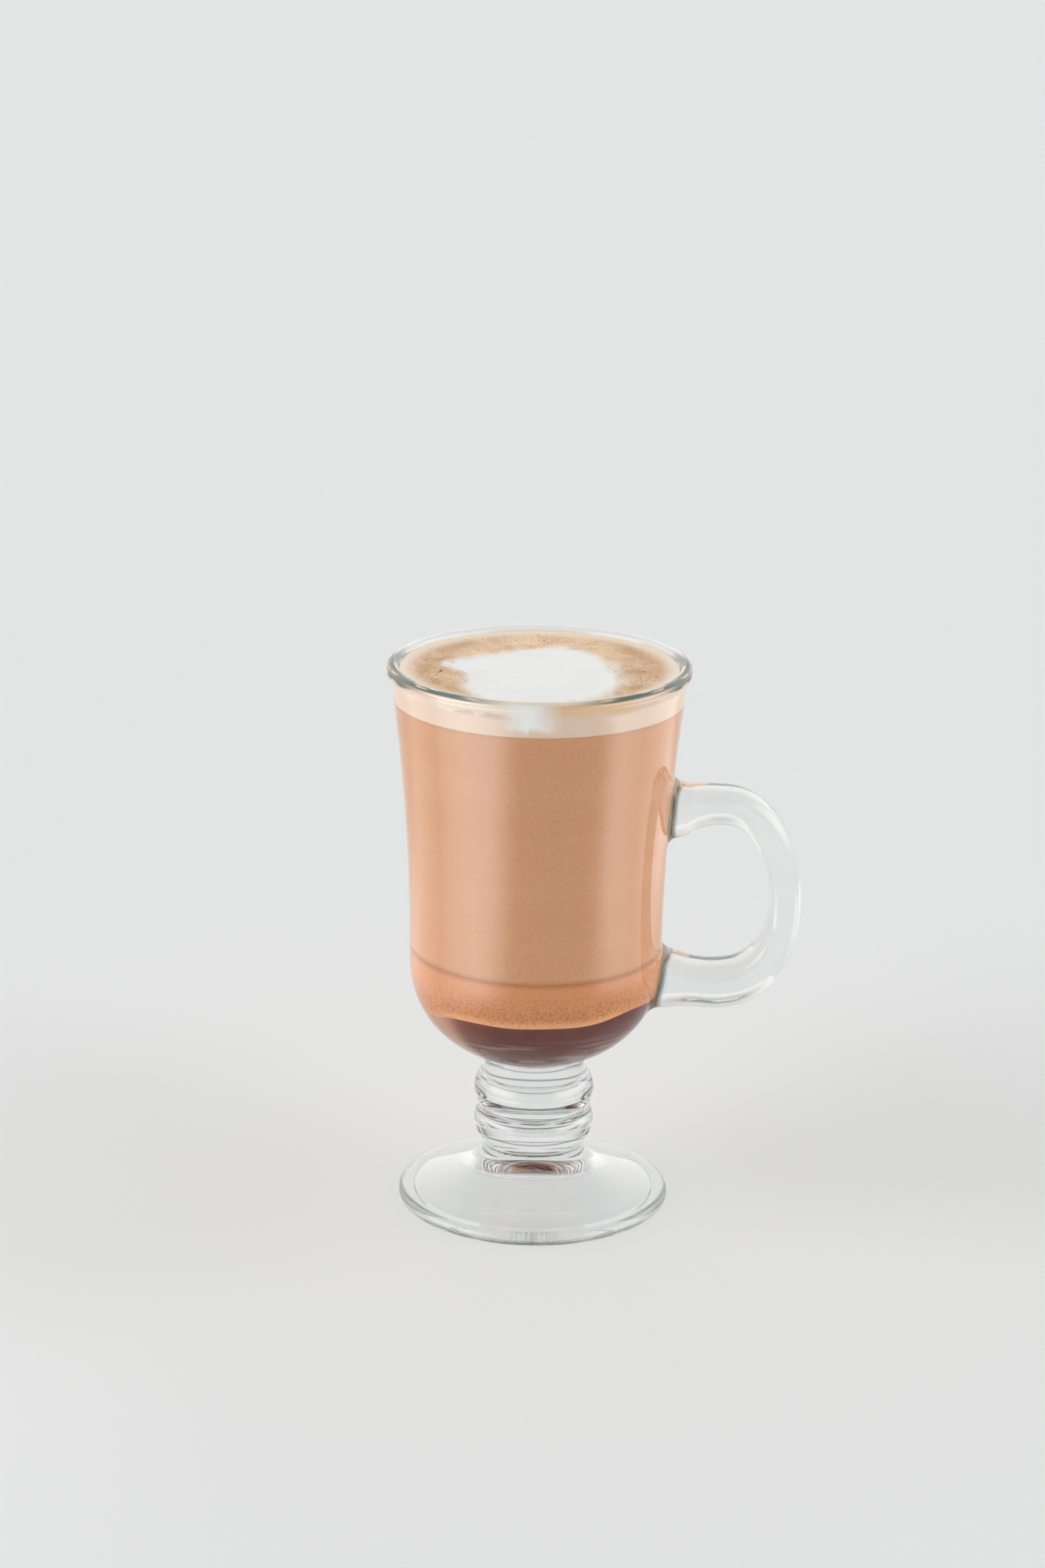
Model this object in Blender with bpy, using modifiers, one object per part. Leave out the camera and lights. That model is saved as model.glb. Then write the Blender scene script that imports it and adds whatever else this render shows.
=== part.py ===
"""Caffe mocha in a footed glass mug.

The mug is one piece of pressed glass: a tall bowl with a beaded rim, a ringed stem, a round foot and
a D-shaped handle. The drink stands in it in layers: chocolate syrup, a dense lower layer, the mocha
itself, a band of foam up to the brim, and a patch of white milk foam lying in the foam's top.

Metres, +Z up. The origin is the centre of the foot's underside, and the handle points along +X.
"""

import math

import bmesh
import bpy

MM = 0.001

# Mug: driving dimensions
HEIGHT = 142.3 * MM
RIM_RADIUS = 38.0 * MM
RIM_BEAD = 1.7 * MM
FOOT_RADIUS = 34.5 * MM
STEM_RADIUS = 12.8 * MM
RING_RADIUS = 15.3 * MM
SHOULDER_Z = 66.0 * MM
SHOULDER_RADIUS = 31.9 * MM
LIP_Z = 137.6 * MM
LIP_RADIUS = 36.8 * MM
BOWL_DEPTH = 28.4 * MM
BOWL_SQUARENESS = 2.35
WALL_AT_LIP = 2.4 * MM
WALL_AT_SHOULDER = 3.0 * MM
INNER_FLOOR_Z = 44.5 * MM
FOOT_RIM_HEIGHT = 3.4 * MM
FOOT_CREASE_RADIUS = 30.5 * MM
STEM_TOP_Z = 39.6 * MM
STEM_FOOT_Z = 10.2 * MM
STEM_FILLET = 2.6 * MM

# Drink: driving dimensions
FIT_GAP = 0.3 * MM
SYRUP_LEVEL = 56.3 * MM
BASE_LEVEL = 68.3 * MM
MOCHA_LEVEL = 133.0 * MM
FOAM_EDGE_LEVEL = 140.9 * MM
FOAM_CROWN = 0.5 * MM
PATCH_DEPTH = 2.4 * MM

# The syrup's uneven top: slow waves across it, and a bank that it climbs near the handle
WAVE_HEIGHT = 0.5 * MM
WAVE_RATE_X = 210.0
WAVE_RATE_Y = 170.0
WAVE_SHIFT_X = 0.6
WAVE_SHIFT_Y = -0.4
BANK_HEIGHT = 3.0 * MM
BANK_REACH = 27.0 * MM
BANK_OFFSET_Y = 8.0 * MM
BANK_HEADING = -0.25
BANK_SPREAD = 0.42
SWIRL_BAND = 0.5 * MM
SYRUP_SIDE_DROP = 3.0 * MM
BASE_SIDE_RISE = 4.0 * MM

# Finish of the facets
BODY_SEGMENTS = 56
DRINK_SEGMENTS = 40
SECTION_SEGMENTS = 14
HANDLE_STEPS_PER_SPAN = 3
SECTION_SQUARENESS = 2.6
BOWL_ANGLES = (0, 9, 18, 28, 39, 50, 61, 72)
RING_DOME_ANGLES = (70, 45, 20, 0)
SHARP_ANGLE = math.radians(35)
MERGE = 0.00001

# Heights of the stem's two rings: the top of the domed upper face, the sharp widest edge, the foot of
# the chamfer below it, and where the undercut meets the stem again.
UPPER_RING = (34.4 * MM, 29.5 * MM, 26.8 * MM, 25.3 * MM)
LOWER_RING = (24.9 * MM, 21.6 * MM, 18.1 * MM, 16.2 * MM)
RING_CHAMFER = 0.8 * MM
NECK_RADIUS = 13.1 * MM
NECK_STEP = 0.4 * MM

# Handle from its upper pad to its lower one: x, z, half thickness, half depth, in millimetres. Each
# end lies inside the bowl's wall.
HANDLE_STATIONS = (
    (31.8, 104.9, 7.9, 7.4),
    (35.4, 105.0, 6.9, 6.9),
    (39.2, 105.5, 5.3, 6.3),
    (44.6, 106.1, 4.6, 6.1),
    (50.4, 105.4, 4.5, 6.1),
    (55.6, 102.0, 4.35, 6.1),
    (59.6, 96.0, 4.2, 6.1),
    (61.9, 88.2, 4.1, 6.1),
    (62.5, 80.0, 4.1, 6.2),
    (61.6, 72.2, 4.4, 6.4),
    (58.3, 65.0, 4.9, 6.7),
    (52.8, 60.3, 5.4, 7.0),
    (46.2, 58.7, 5.6, 7.2),
    (39.8, 59.0, 5.6, 7.3),
    (34.2, 59.7, 6.7, 7.5),
    (28.7, 60.4, 8.1, 7.6),
)
LOWER_PAD_TILT = math.radians(10.6)

# Outline of the milk foam patch, x and y in millimetres, anticlockwise from its left tip.
PATCH_OUTLINE = (
    (-23.6, 3.0),
    (-21.6, -2.4),
    (-18.2, -8.6),
    (-18.6, -14.0),
    (-17.4, -21.5),
    (-15.2, -27.4),
    (-7.5, -31.4),
    (2.5, -32.0),
    (10.5, -29.6),
    (16.4, -23.6),
    (20.2, -14.6),
    (19.2, -4.6),
    (16.6, 6.0),
    (12.2, 14.2),
    (5.6, 18.2),
    (-3.0, 16.2),
    (-12.4, 11.6),
)

GLASS_TINT = (0.88, 0.91, 0.91, 1.0)
SYRUP_BROWN = (0.055, 0.022, 0.013, 1.0)
BASE_BROWN = (0.60, 0.28, 0.13, 1.0)
MOCHA_BROWN = (0.68, 0.37, 0.21, 1.0)
CREAM = (0.87, 0.72, 0.57, 1.0)
MILK_WHITE = (0.86, 0.84, 0.81, 1.0)


def superellipse_radius(height, across, depth):
    """Radius of a rounded bowl at a height below its shoulder, 0 at its lowest point."""
    share = min(1.0, height / depth)
    return across * math.sqrt(max(0.0, 1.0 - share**BOWL_SQUARENESS))


def outer_radius(z):
    if z < SHOULDER_Z:
        return superellipse_radius(SHOULDER_Z - z, SHOULDER_RADIUS, BOWL_DEPTH)
    rise = (z - SHOULDER_Z) / (LIP_Z - SHOULDER_Z)
    return SHOULDER_RADIUS + (LIP_RADIUS - SHOULDER_RADIUS) * rise * rise


def inner_radius(z):
    if z < SHOULDER_Z:
        across = SHOULDER_RADIUS - WALL_AT_SHOULDER
        return superellipse_radius(SHOULDER_Z - z, across, SHOULDER_Z - INNER_FLOOR_Z)
    rise = min(1.0, (z - SHOULDER_Z) / (LIP_Z - SHOULDER_Z))
    return outer_radius(z) - WALL_AT_SHOULDER + (WALL_AT_SHOULDER - WALL_AT_LIP) * rise


def drink_radius(z):
    """Radius of the drink at a height, a gap in from the bowl's inner face."""
    if z < SHOULDER_Z:
        across = SHOULDER_RADIUS - WALL_AT_SHOULDER - FIT_GAP
        return superellipse_radius(SHOULDER_Z - z, across, SHOULDER_Z - INNER_FLOOR_Z - FIT_GAP)
    return inner_radius(z) - FIT_GAP


def between(low, high, count):
    """Evenly spaced values from low to high, both included."""
    return [low + (high - low) * i / (count - 1) for i in range(count)]


def arc(centre_r, centre_z, radius, start, end, count):
    """Points of an arc in the (radius, height) plane, its angles in degrees."""
    turns = (math.radians(angle) for angle in between(start, end, count))
    return [(centre_r + radius * math.cos(a), centre_z + radius * math.sin(a)) for a in turns]


def bowl_heights(lowest):
    """Heights down a bowl's rounded bottom, closer together where it curves most."""
    drop = SHOULDER_Z - lowest
    return [SHOULDER_Z - drop * math.sin(math.radians(angle)) for angle in BOWL_ANGLES]


def ring(top, widest, chamfer_foot, bottom):
    """Half section of one stem ring, from its top down to the neck below it."""
    dome = [math.radians(angle) for angle in RING_DOME_ANGLES]
    bulge = RING_RADIUS - STEM_RADIUS
    upper = [
        (STEM_RADIUS + bulge * math.cos(a), widest + (top - widest) * math.sin(a)) for a in dome
    ]
    return [(STEM_RADIUS, top), *upper, (RING_RADIUS - RING_CHAMFER, chamfer_foot), (NECK_RADIUS, bottom)]


def glass_profile():
    """Half section of the mug's body, from its inner floor over the rim to the foot's underside."""
    inner_bottom = [(inner_radius(z), z) for z in reversed(bowl_heights(INNER_FLOOR_Z))]
    inner_side = [(inner_radius(z), z) for z in between(SHOULDER_Z, LIP_Z, 6)[1:]]
    bead = arc(RIM_RADIUS - RIM_BEAD, HEIGHT - RIM_BEAD, RIM_BEAD, 180, -60, 9)
    outer_side = [(outer_radius(z), z) for z in between(LIP_Z, SHOULDER_Z, 7)[:-1]]
    outer_bottom = [(outer_radius(z), z) for z in bowl_heights(SHOULDER_Z - BOWL_DEPTH)]
    fillet = arc(
        STEM_RADIUS + STEM_FILLET, STEM_FOOT_Z + STEM_FILLET / 2, STEM_FILLET, 180, 250, 4
    )
    edge = FOOT_RIM_HEIGHT / 2
    foot_edge = arc(FOOT_RADIUS - edge, edge, edge, 80, -90, 6)
    near_axis = INNER_FLOOR_Z + FIT_GAP
    return (
        [(0.0, INNER_FLOOR_Z), (inner_radius(near_axis), near_axis)]
        + inner_bottom
        + inner_side
        + bead
        + outer_side
        + outer_bottom
        + [(STEM_RADIUS, STEM_TOP_Z)]
        + ring(*UPPER_RING)
        + ring(*LOWER_RING)
        + [(STEM_RADIUS, LOWER_RING[-1] - NECK_STEP)]
        + fillet
        + [(FOOT_CREASE_RADIUS, FOOT_RIM_HEIGHT)]
        + foot_edge
        + [(0.0, 0.0)]
    )


def swirl(x, y):
    """Height of the syrup's uneven top over its level: slow waves, and a rise towards the handle."""
    waves = math.sin(x * WAVE_RATE_X + WAVE_SHIFT_X) * math.cos(y * WAVE_RATE_Y + WAVE_SHIFT_Y)
    heading = math.atan2(y + BANK_OFFSET_Y, x)
    reach = min(1.0, math.hypot(x, y) / BANK_REACH)
    bank = reach**3 * math.exp(-(((heading - BANK_HEADING) / BANK_SPREAD) ** 2))
    return WAVE_HEIGHT * waves + BANK_HEIGHT * bank


def material(name, colour, roughness, transmission=0.0):
    made = bpy.data.materials.new(name)
    made.use_nodes = True
    made.diffuse_color = colour
    shader = made.node_tree.nodes["Principled BSDF"]
    shader.inputs["Base Color"].default_value = colour
    shader.inputs["Roughness"].default_value = roughness
    shader.inputs["Metallic"].default_value = 0.0
    shader.inputs["Transmission Weight"].default_value = transmission
    return made


def add(name, mesh, collection, finish=None):
    made = bpy.data.objects.new(name, mesh)
    if finish:
        mesh.materials.append(finish)
    collection.objects.link(made)
    return made


def turned(name, profile, segments, collection, finish=None):
    """A solid of revolution about the Z axis, from a half section that ends on the axis."""
    mesh = bpy.data.meshes.new(name)
    points = [(r, 0.0, z) for r, z in profile]
    mesh.from_pydata(points, [(i, i + 1) for i in range(len(points) - 1)], [])
    made = add(name, mesh, collection, finish)
    screw = made.modifiers.new("turn", "SCREW")
    screw.axis = "Z"
    screw.angle = math.tau
    screw.steps = segments
    screw.render_steps = segments
    screw.use_merge_vertices = True
    screw.merge_threshold = MERGE
    return made


def baked(made):
    """Gives the object the mesh that its modifiers make, and removes them."""
    graph = bpy.context.evaluated_depsgraph_get()
    mesh = bpy.data.meshes.new_from_object(made.evaluated_get(graph))
    made.modifiers.clear()
    made.data = mesh
    return made


def closed_spline(points, steps):
    """Points along a smooth closed curve through the given ones (Catmull-Rom)."""
    count = len(points)
    found = []
    for i in range(count):
        found += spline_span([points[(i + k) % count] for k in (-1, 0, 1, 2)], steps)
    return found


def open_spline(points, steps):
    """Points along a smooth open curve through the given ones (Catmull-Rom)."""
    padded = [points[0], *points, points[-1]]
    found = []
    for i in range(len(points) - 1):
        found += spline_span(padded[i : i + 4], steps)
    return [*found, points[-1]]


def spline_span(four, steps):
    before, start, end, after = four
    found = []
    for step in range(steps):
        t = step / steps
        weights = (
            -0.5 * t + t * t - 0.5 * t**3,
            1.0 - 2.5 * t * t + 1.5 * t**3,
            0.5 * t + 2.0 * t * t - 1.5 * t**3,
            -0.5 * t * t + 0.5 * t**3,
        )
        parts = zip(before, start, end, after)
        found.append(tuple(sum(w * v for w, v in zip(weights, values)) for values in parts))
    return found


def section(x, z, half_thickness, half_depth, heading):
    """A rounded rectangle across the handle, whose path there points along heading."""
    points = []
    for i in range(SECTION_SEGMENTS):
        angle = math.tau * i / SECTION_SEGMENTS
        power = 2.0 / SECTION_SQUARENESS
        across = math.copysign(abs(math.cos(angle)) ** power, math.cos(angle)) * half_thickness
        deep = math.copysign(abs(math.sin(angle)) ** power, math.sin(angle)) * half_depth
        points.append((x - across * math.sin(heading), deep, z + across * math.cos(heading)))
    return points


def build_handle(collection):
    """The handle, lofted between sections that change in thickness and depth along its path."""
    path = open_spline([tuple(v * MM for v in s) for s in HANDLE_STATIONS], HANDLE_STEPS_PER_SPAN)
    shape = bmesh.new()
    rings = []
    for i, (x, z, half_thickness, half_depth) in enumerate(path):
        back, ahead = path[max(i - 1, 0)], path[min(i + 1, len(path) - 1)]
        heading = math.atan2(ahead[1] - back[1], ahead[0] - back[0])
        if i == 0:
            heading = 0.0
        if i == len(path) - 1:
            heading = math.pi - LOWER_PAD_TILT
        corners = section(x, z, half_thickness, half_depth, heading)
        rings.append([shape.verts.new(corner) for corner in corners])
    for ring in rings:
        for i in range(SECTION_SEGMENTS):
            shape.edges.new((ring[i - 1], ring[i]))
    for near, far in zip(rings, rings[1:]):
        edges = [
            shape.edges.get((ring[i - 1], ring[i]))
            for ring in (near, far)
            for i in range(SECTION_SEGMENTS)
        ]
        bmesh.ops.bridge_loops(shape, edges=edges)
    shape.faces.new(rings[0])
    shape.faces.new(rings[-1])
    bmesh.ops.recalc_face_normals(shape, faces=shape.faces)
    mesh = bpy.data.meshes.new("handle")
    shape.to_mesh(mesh)
    shape.free()
    return add("handle", mesh, collection)


def build_mug(collection, cutters, finish):
    """Bowl, stem and foot turned as one, with the handle fused on."""
    mug = turned("glass_mug", glass_profile(), BODY_SEGMENTS, collection, finish)
    handle = build_handle(cutters)
    union = mug.modifiers.new("handle", "BOOLEAN")
    union.operation = "UNION"
    union.solver = "EXACT"
    union.object = handle
    baked(mug)
    bpy.data.objects.remove(handle)
    mug.data.shade_smooth()
    mug.data.set_sharp_from_angle(angle=SHARP_ANGLE)


def drink_side(low, high, count):
    """Side of a drink layer, from top to bottom."""
    return [(drink_radius(z), z) for z in between(high, low, count)]


def level(z, radius, count):
    """Points of a level face from the axis out to just short of its rim."""
    return [(r, z) for r in between(0.0, radius, count)[:-1]]


def moved_by_swirl(made, rim, applies):
    """Raises the points that the test names by the syrup's uneven height, its rim along the wall."""
    for vertex in baked(made).data.vertices:
        point = vertex.co
        if not applies(point):
            continue
        point.z += swirl(point.x, point.y)
        radius = math.hypot(point.x, point.y)
        if radius > rim - FIT_GAP:
            reach = drink_radius(point.z) / radius
            point.x *= reach
            point.y *= reach


def build_syrup(collection, finish):
    rim = drink_radius(SYRUP_LEVEL)
    floor = INNER_FLOOR_Z + FIT_GAP
    bottom = [z for z in [*bowl_heights(floor), floor + FIT_GAP] if z < SYRUP_LEVEL - SYRUP_SIDE_DROP]
    sides = [(rim, SYRUP_LEVEL)] + [(drink_radius(z), z) for z in bottom]
    profile = level(SYRUP_LEVEL, rim, 6) + sides + [(0.0, floor)]
    made = turned("chocolate_syrup", profile, DRINK_SEGMENTS, collection, finish)
    moved_by_swirl(made, rim, lambda point: point.z > SYRUP_LEVEL - SWIRL_BAND)


def build_base(collection, finish):
    low = SYRUP_LEVEL + FIT_GAP
    rim = drink_radius(SYRUP_LEVEL)
    sides = drink_side(SYRUP_LEVEL + BASE_SIDE_RISE, BASE_LEVEL, 4) + [(rim, low)]
    profile = [(0.0, BASE_LEVEL)] + sides + level(low, rim, 6)[::-1]
    made = turned("mocha_base", profile, DRINK_SEGMENTS, collection, finish)
    moved_by_swirl(made, rim, lambda point: point.z < low + SWIRL_BAND)


def build_mocha(collection, finish):
    low = BASE_LEVEL + FIT_GAP
    profile = [(0.0, MOCHA_LEVEL)] + drink_side(low, MOCHA_LEVEL, 7) + [(0.0, low)]
    turned("mocha", profile, DRINK_SEGMENTS, collection, finish)


def patch_prism(name, collection, outset, low, high):
    """An upright solid over the milk foam patch's outline."""
    outline = closed_spline([(x * MM, y * MM) for x, y in PATCH_OUTLINE], 3)
    curve = bpy.data.curves.new(name, "CURVE")
    curve.dimensions = "2D"
    curve.fill_mode = "BOTH"
    curve.extrude = (high - low) / 2
    spline = curve.splines.new("POLY")
    spline.points.add(len(outline) - 1)
    for point, (x, y) in zip(spline.points, outline):
        reach = 1.0 + outset / math.hypot(x, y)
        point.co = (x * reach, y * reach, 0.0, 1.0)
    spline.use_cyclic_u = True
    guide = bpy.data.objects.new(name, curve)
    collection.objects.link(guide)
    bpy.context.view_layer.update()
    mesh = bpy.data.meshes.new_from_object(guide.evaluated_get(bpy.context.evaluated_depsgraph_get()))
    bpy.data.objects.remove(guide)
    shape = bmesh.new()
    shape.from_mesh(mesh)
    bmesh.ops.remove_doubles(shape, verts=shape.verts, dist=MERGE)
    bmesh.ops.recalc_face_normals(shape, faces=shape.faces)
    bmesh.ops.translate(shape, verts=shape.verts, vec=(0.0, 0.0, (high + low) / 2))
    shape.to_mesh(mesh)
    shape.free()
    return add(name, mesh, collection)


def build_foam(collection, cutters, finish):
    """The foam band, crowned a little, with a pocket that holds the milk foam patch."""
    low = MOCHA_LEVEL + FIT_GAP
    rim = drink_radius(FOAM_EDGE_LEVEL)
    crown = [
        (r, FOAM_EDGE_LEVEL + FOAM_CROWN * (1.0 - (r / rim) ** 4))
        for r in between(0.0, rim, 6)[:-1]
    ]
    profile = crown + drink_side(low, FOAM_EDGE_LEVEL, 3) + [(0.0, low)]
    foam = turned("foam", profile, DRINK_SEGMENTS, collection, finish)
    top = FOAM_EDGE_LEVEL + FOAM_CROWN
    pocket = patch_prism("patch_pocket", cutters, FIT_GAP, top - PATCH_DEPTH - FIT_GAP, top + FOAM_CROWN)
    pocket.hide_render = True
    pocket.display_type = "WIRE"
    cut = foam.modifiers.new("pocket", "BOOLEAN")
    cut.operation = "DIFFERENCE"
    cut.solver = "EXACT"
    cut.object = pocket


def build_patch(collection, finish):
    top = FOAM_EDGE_LEVEL + FOAM_CROWN
    patch = patch_prism("milk_foam_patch", collection, 0.0, top - PATCH_DEPTH, top)
    patch.data.materials.append(finish)


def main():
    for old in list(bpy.data.objects):
        bpy.data.objects.remove(old)
    collection = bpy.data.collections.new("caffe_mocha")
    cutters = bpy.data.collections.new("cutters")
    for group in (collection, cutters):
        bpy.context.scene.collection.children.link(group)
    build_mug(collection, cutters, material("clear_glass", GLASS_TINT, 0.03, 1.0))
    build_syrup(collection, material("chocolate_syrup", SYRUP_BROWN, 0.35))
    build_base(collection, material("mocha_base", BASE_BROWN, 0.5))
    build_mocha(collection, material("mocha", MOCHA_BROWN, 0.5))
    build_foam(collection, cutters, material("milk_foam", CREAM, 0.6))
    build_patch(collection, material("white_foam", MILK_WHITE, 0.6))


main()
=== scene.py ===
"""Looks of a caffe mocha in a footed glass mug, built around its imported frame.

The mug is one piece of pressed glass, and the drink fills it in layers: chocolate syrup, a grainy
lower layer, the mocha, a band of foam up to the brim, and a patch of milk foam in the foam's top.
Metres, +Z up; the origin is the centre of the foot's underside, and the handle points along +X.
"""

import logging
import math
import random
from collections.abc import Sequence
from dataclasses import dataclass
from enum import Enum
from functools import reduce

import bmesh
import bpy
from mathutils import Matrix, Vector, kdtree, noise


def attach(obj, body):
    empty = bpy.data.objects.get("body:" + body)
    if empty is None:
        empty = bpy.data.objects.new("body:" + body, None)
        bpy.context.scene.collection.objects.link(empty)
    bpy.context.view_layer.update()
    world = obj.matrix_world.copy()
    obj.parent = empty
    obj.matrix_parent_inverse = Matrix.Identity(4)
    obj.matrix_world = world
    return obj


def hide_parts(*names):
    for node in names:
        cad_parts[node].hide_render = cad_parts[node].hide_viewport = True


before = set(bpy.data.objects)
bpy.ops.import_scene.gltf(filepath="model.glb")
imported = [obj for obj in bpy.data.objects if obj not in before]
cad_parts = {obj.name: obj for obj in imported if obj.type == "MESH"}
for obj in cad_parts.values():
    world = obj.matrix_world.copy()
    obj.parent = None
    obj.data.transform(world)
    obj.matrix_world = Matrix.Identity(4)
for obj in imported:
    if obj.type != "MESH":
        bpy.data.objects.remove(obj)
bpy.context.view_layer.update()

log = logging.getLogger("caffe_mocha")

MM = 0.001
# Small distances: between points that are welded, beside a fillet, and from a level or a wall
# that a point still counts as lying on.
WELD = 0.001 * MM
FLAT_GUARD = 0.08 * MM
LEVEL_GUARD = 0.01 * MM
WALL_GUARD = 0.1 * MM
# Keeps x and y of a point, and drops z.
LEVEL = (1.0, 1.0, 0.0)
# The middle of a noise's colours: without it, they are steps to all sides.
HALF_GREY = (0.5, 0.5, 0.5)

Point = tuple[float, float]
Triple = tuple[float, float, float]
Colour = tuple[float, float, float, float]
# A span that a value runs through, and what it becomes at each end of it.
Ramp = tuple[float, float, float, float]
Tree = bpy.types.NodeTree
Node = bpy.types.Node
Socket = bpy.types.NodeSocket
Shape = bmesh.types.BMesh


class Slot(Enum):
    """The record's material slots."""

    GLASS = "clear_glass"
    SYRUP = "chocolate"
    LOWER = "dense_mocha"
    MOCHA = "mocha"
    FOAM = "coffee_foam"
    MILK = "white_foam"


def mm(*lengths: float) -> tuple[float, ...]:
    """Turns millimetres into metres."""
    return tuple(length * MM for length in lengths)


def linear(code: str) -> Colour:
    """Turns an sRGB hex code into a linear colour.

    Args:
        code: six hex digits.

    Returns:
        Linear red, green and blue, and an alpha of 1.
    """
    shares = (int(code[i : i + 2], 16) / 255 for i in (0, 2, 4))
    return (*(s / 12.92 if s <= 0.04045 else ((s + 0.055) / 1.055) ** 2.4 for s in shares), 1.0)


def add_node(tree: Tree, kind: str, inputs: Sequence | dict = (), **settings: object) -> Node:
    """Adds a node to a tree, with its settings and links.

    Args:
        tree: the node tree.
        kind: the node's type name, without the word ShaderNode.
        inputs: what its inputs get, in their order or by name or number. A socket is linked, of a
            node the first output in use is linked, and anything else becomes the input's value.
        **settings: the node's own properties.

    Returns:
        The new node.
    """
    node = tree.nodes.new("ShaderNode" + kind)
    for name, value in settings.items():
        setattr(node, name, value)
    for key, given in inputs.items() if isinstance(inputs, dict) else enumerate(inputs):
        if isinstance(given, Node):
            given = next(output for output in given.outputs if output.enabled)
        if isinstance(given, Socket):
            tree.links.new(given, node.inputs[key])
        else:
            node.inputs[key].default_value = given
    return node


def between(low: float, high: float, count: int) -> list[float]:
    """Evenly spaced values from low to high, both included."""
    return [low + (high - low) * i / (count - 1) for i in range(count)]


def rounded(corners: Sequence[Triple], steps: int = 6) -> list[Point]:
    """Rounds the corners of an outline, with a point beside each fillet to keep flats flat.

    Args:
        corners: radius, height and fillet radius of each corner; a fillet of 0 stays sharp.
        steps: chords in each fillet.

    Returns:
        The outline's points.
    """
    points = [corners[0][:2]]
    for before, (r, z, fillet), after in zip(corners, corners[1:], corners[2:]):
        if fillet == 0.0:
            points.append((r, z))
            continue
        here = Vector((r, z))
        back = (Vector(before[:2]) - here).normalized()
        ahead = (Vector(after[:2]) - here).normalized()
        half = back.angle(ahead) / 2
        centre = here + (back + ahead).normalized() * (fillet / math.sin(half))
        reach = fillet / math.tan(half)
        spoke = here + back * reach - centre
        turn = -spoke.angle_signed(here + ahead * reach - centre)
        if (Vector(before[:2]) - here).length > reach + 2.0 * FLAT_GUARD:
            points.append(tuple(here + back * (reach + FLAT_GUARD)))
        for i in range(steps + 1):
            points.append(tuple(centre + Matrix.Rotation(turn * i / steps, 2) @ spoke))
        if (Vector(after[:2]) - here).length > reach + 2.0 * FLAT_GUARD:
            points.append(tuple(here + ahead * (reach + FLAT_GUARD)))
    return [*points, corners[-1][:2]]


def arc(centre: Point, radius: float, start: float, end: float, steps: int) -> list[Point]:
    """Points of an arc in the (radius, height) plane.

    Args:
        centre: the arc's centre.
        radius: its radius.
        start: first angle, in degrees.
        end: last angle, in degrees.
        steps: number of chords.

    Returns:
        The arc's points.
    """
    turns = (math.radians(angle) for angle in between(start, end, steps + 1))
    return [(centre[0] + radius * math.cos(a), centre[1] + radius * math.sin(a)) for a in turns]


def spline(points: Sequence[Sequence[float]], steps: int, closed: bool) -> list[tuple[float, ...]]:
    """Runs a smooth curve through points (Catmull-Rom).

    Args:
        points: the points, of any number of values each.
        steps: curve points for each span.
        closed: whether the curve returns to its first point.

    Returns:
        Points along the curve.
    """
    count = len(points)
    found = []
    for i in range(count if closed else count - 1):
        picks = (i - 1, i, i + 1, i + 2)
        four = [points[k % count] if closed else points[min(max(k, 0), count - 1)] for k in picks]
        for step in range(steps):
            t = step / steps
            weights = (
                -0.5 * t + t * t - 0.5 * t**3,
                1.0 - 2.5 * t * t + 1.5 * t**3,
                0.5 * t + 2.0 * t * t - 1.5 * t**3,
                -0.5 * t * t + 0.5 * t**3,
            )
            found.append(tuple(sum(w * v for w, v in zip(weights, values)) for values in zip(*four)))
    return found if closed else [*found, tuple(points[-1])]


def turned(outline: Sequence[Point], segments: int) -> Shape:
    """Spins a half section about the Z axis into a closed shape.

    Args:
        outline: radius and height of each point, both ends on the axis.
        segments: steps of the full turn.

    Returns:
        The closed shape.
    """
    shape = bmesh.new()
    verts = [shape.verts.new((r, 0.0, z)) for r, z in outline]
    parts = [*verts, *(shape.edges.new(pair) for pair in zip(verts, verts[1:]))]
    turn = {"cent": (0.0, 0.0, 0.0), "axis": (0.0, 0.0, 1.0), "angle": math.tau}
    bmesh.ops.spin(shape, geom=parts, steps=segments, use_merge=True, **turn)
    bmesh.ops.remove_doubles(shape, verts=shape.verts, dist=WELD)
    bmesh.ops.recalc_face_normals(shape, faces=shape.faces)
    return shape


def to_object(name: str, shape: Shape) -> bpy.types.Object:
    """Makes a smooth-shaded object of a shape, which it frees.

    Args:
        name: the object's name.
        shape: the shape.

    Returns:
        The object.
    """
    mesh = bpy.data.meshes.new(name)
    shape.to_mesh(mesh)
    shape.free()
    mesh.shade_smooth()
    made = bpy.data.objects.new(name, mesh)
    bpy.context.scene.collection.objects.link(made)
    return made


def level_sheet(name: str, across: Point, along: Point, height: float) -> bpy.types.Object:
    """Makes a level rectangle.

    Args:
        name: the object's name.
        across: its lowest and highest x.
        along: its lowest and highest y.
        height: its height.

    Returns:
        The object.
    """
    shape = bmesh.new()
    bmesh.ops.create_grid(shape, x_segments=1, y_segments=1, size=0.5)
    bmesh.ops.scale(shape, verts=shape.verts, vec=(across[1] - across[0], along[1] - along[0], 1.0))
    bmesh.ops.translate(shape, verts=shape.verts, vec=(sum(across) / 2, sum(along) / 2, height))
    return to_object(name, shape)


def cleared(owner: bpy.types.Material | bpy.types.World) -> Tree:
    """Turns on the nodes of a material or world and empties its tree.

    Args:
        owner: the material or world.

    Returns:
        The empty tree.
    """
    owner.use_nodes = True
    owner.node_tree.nodes.clear()
    return owner.node_tree


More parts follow.
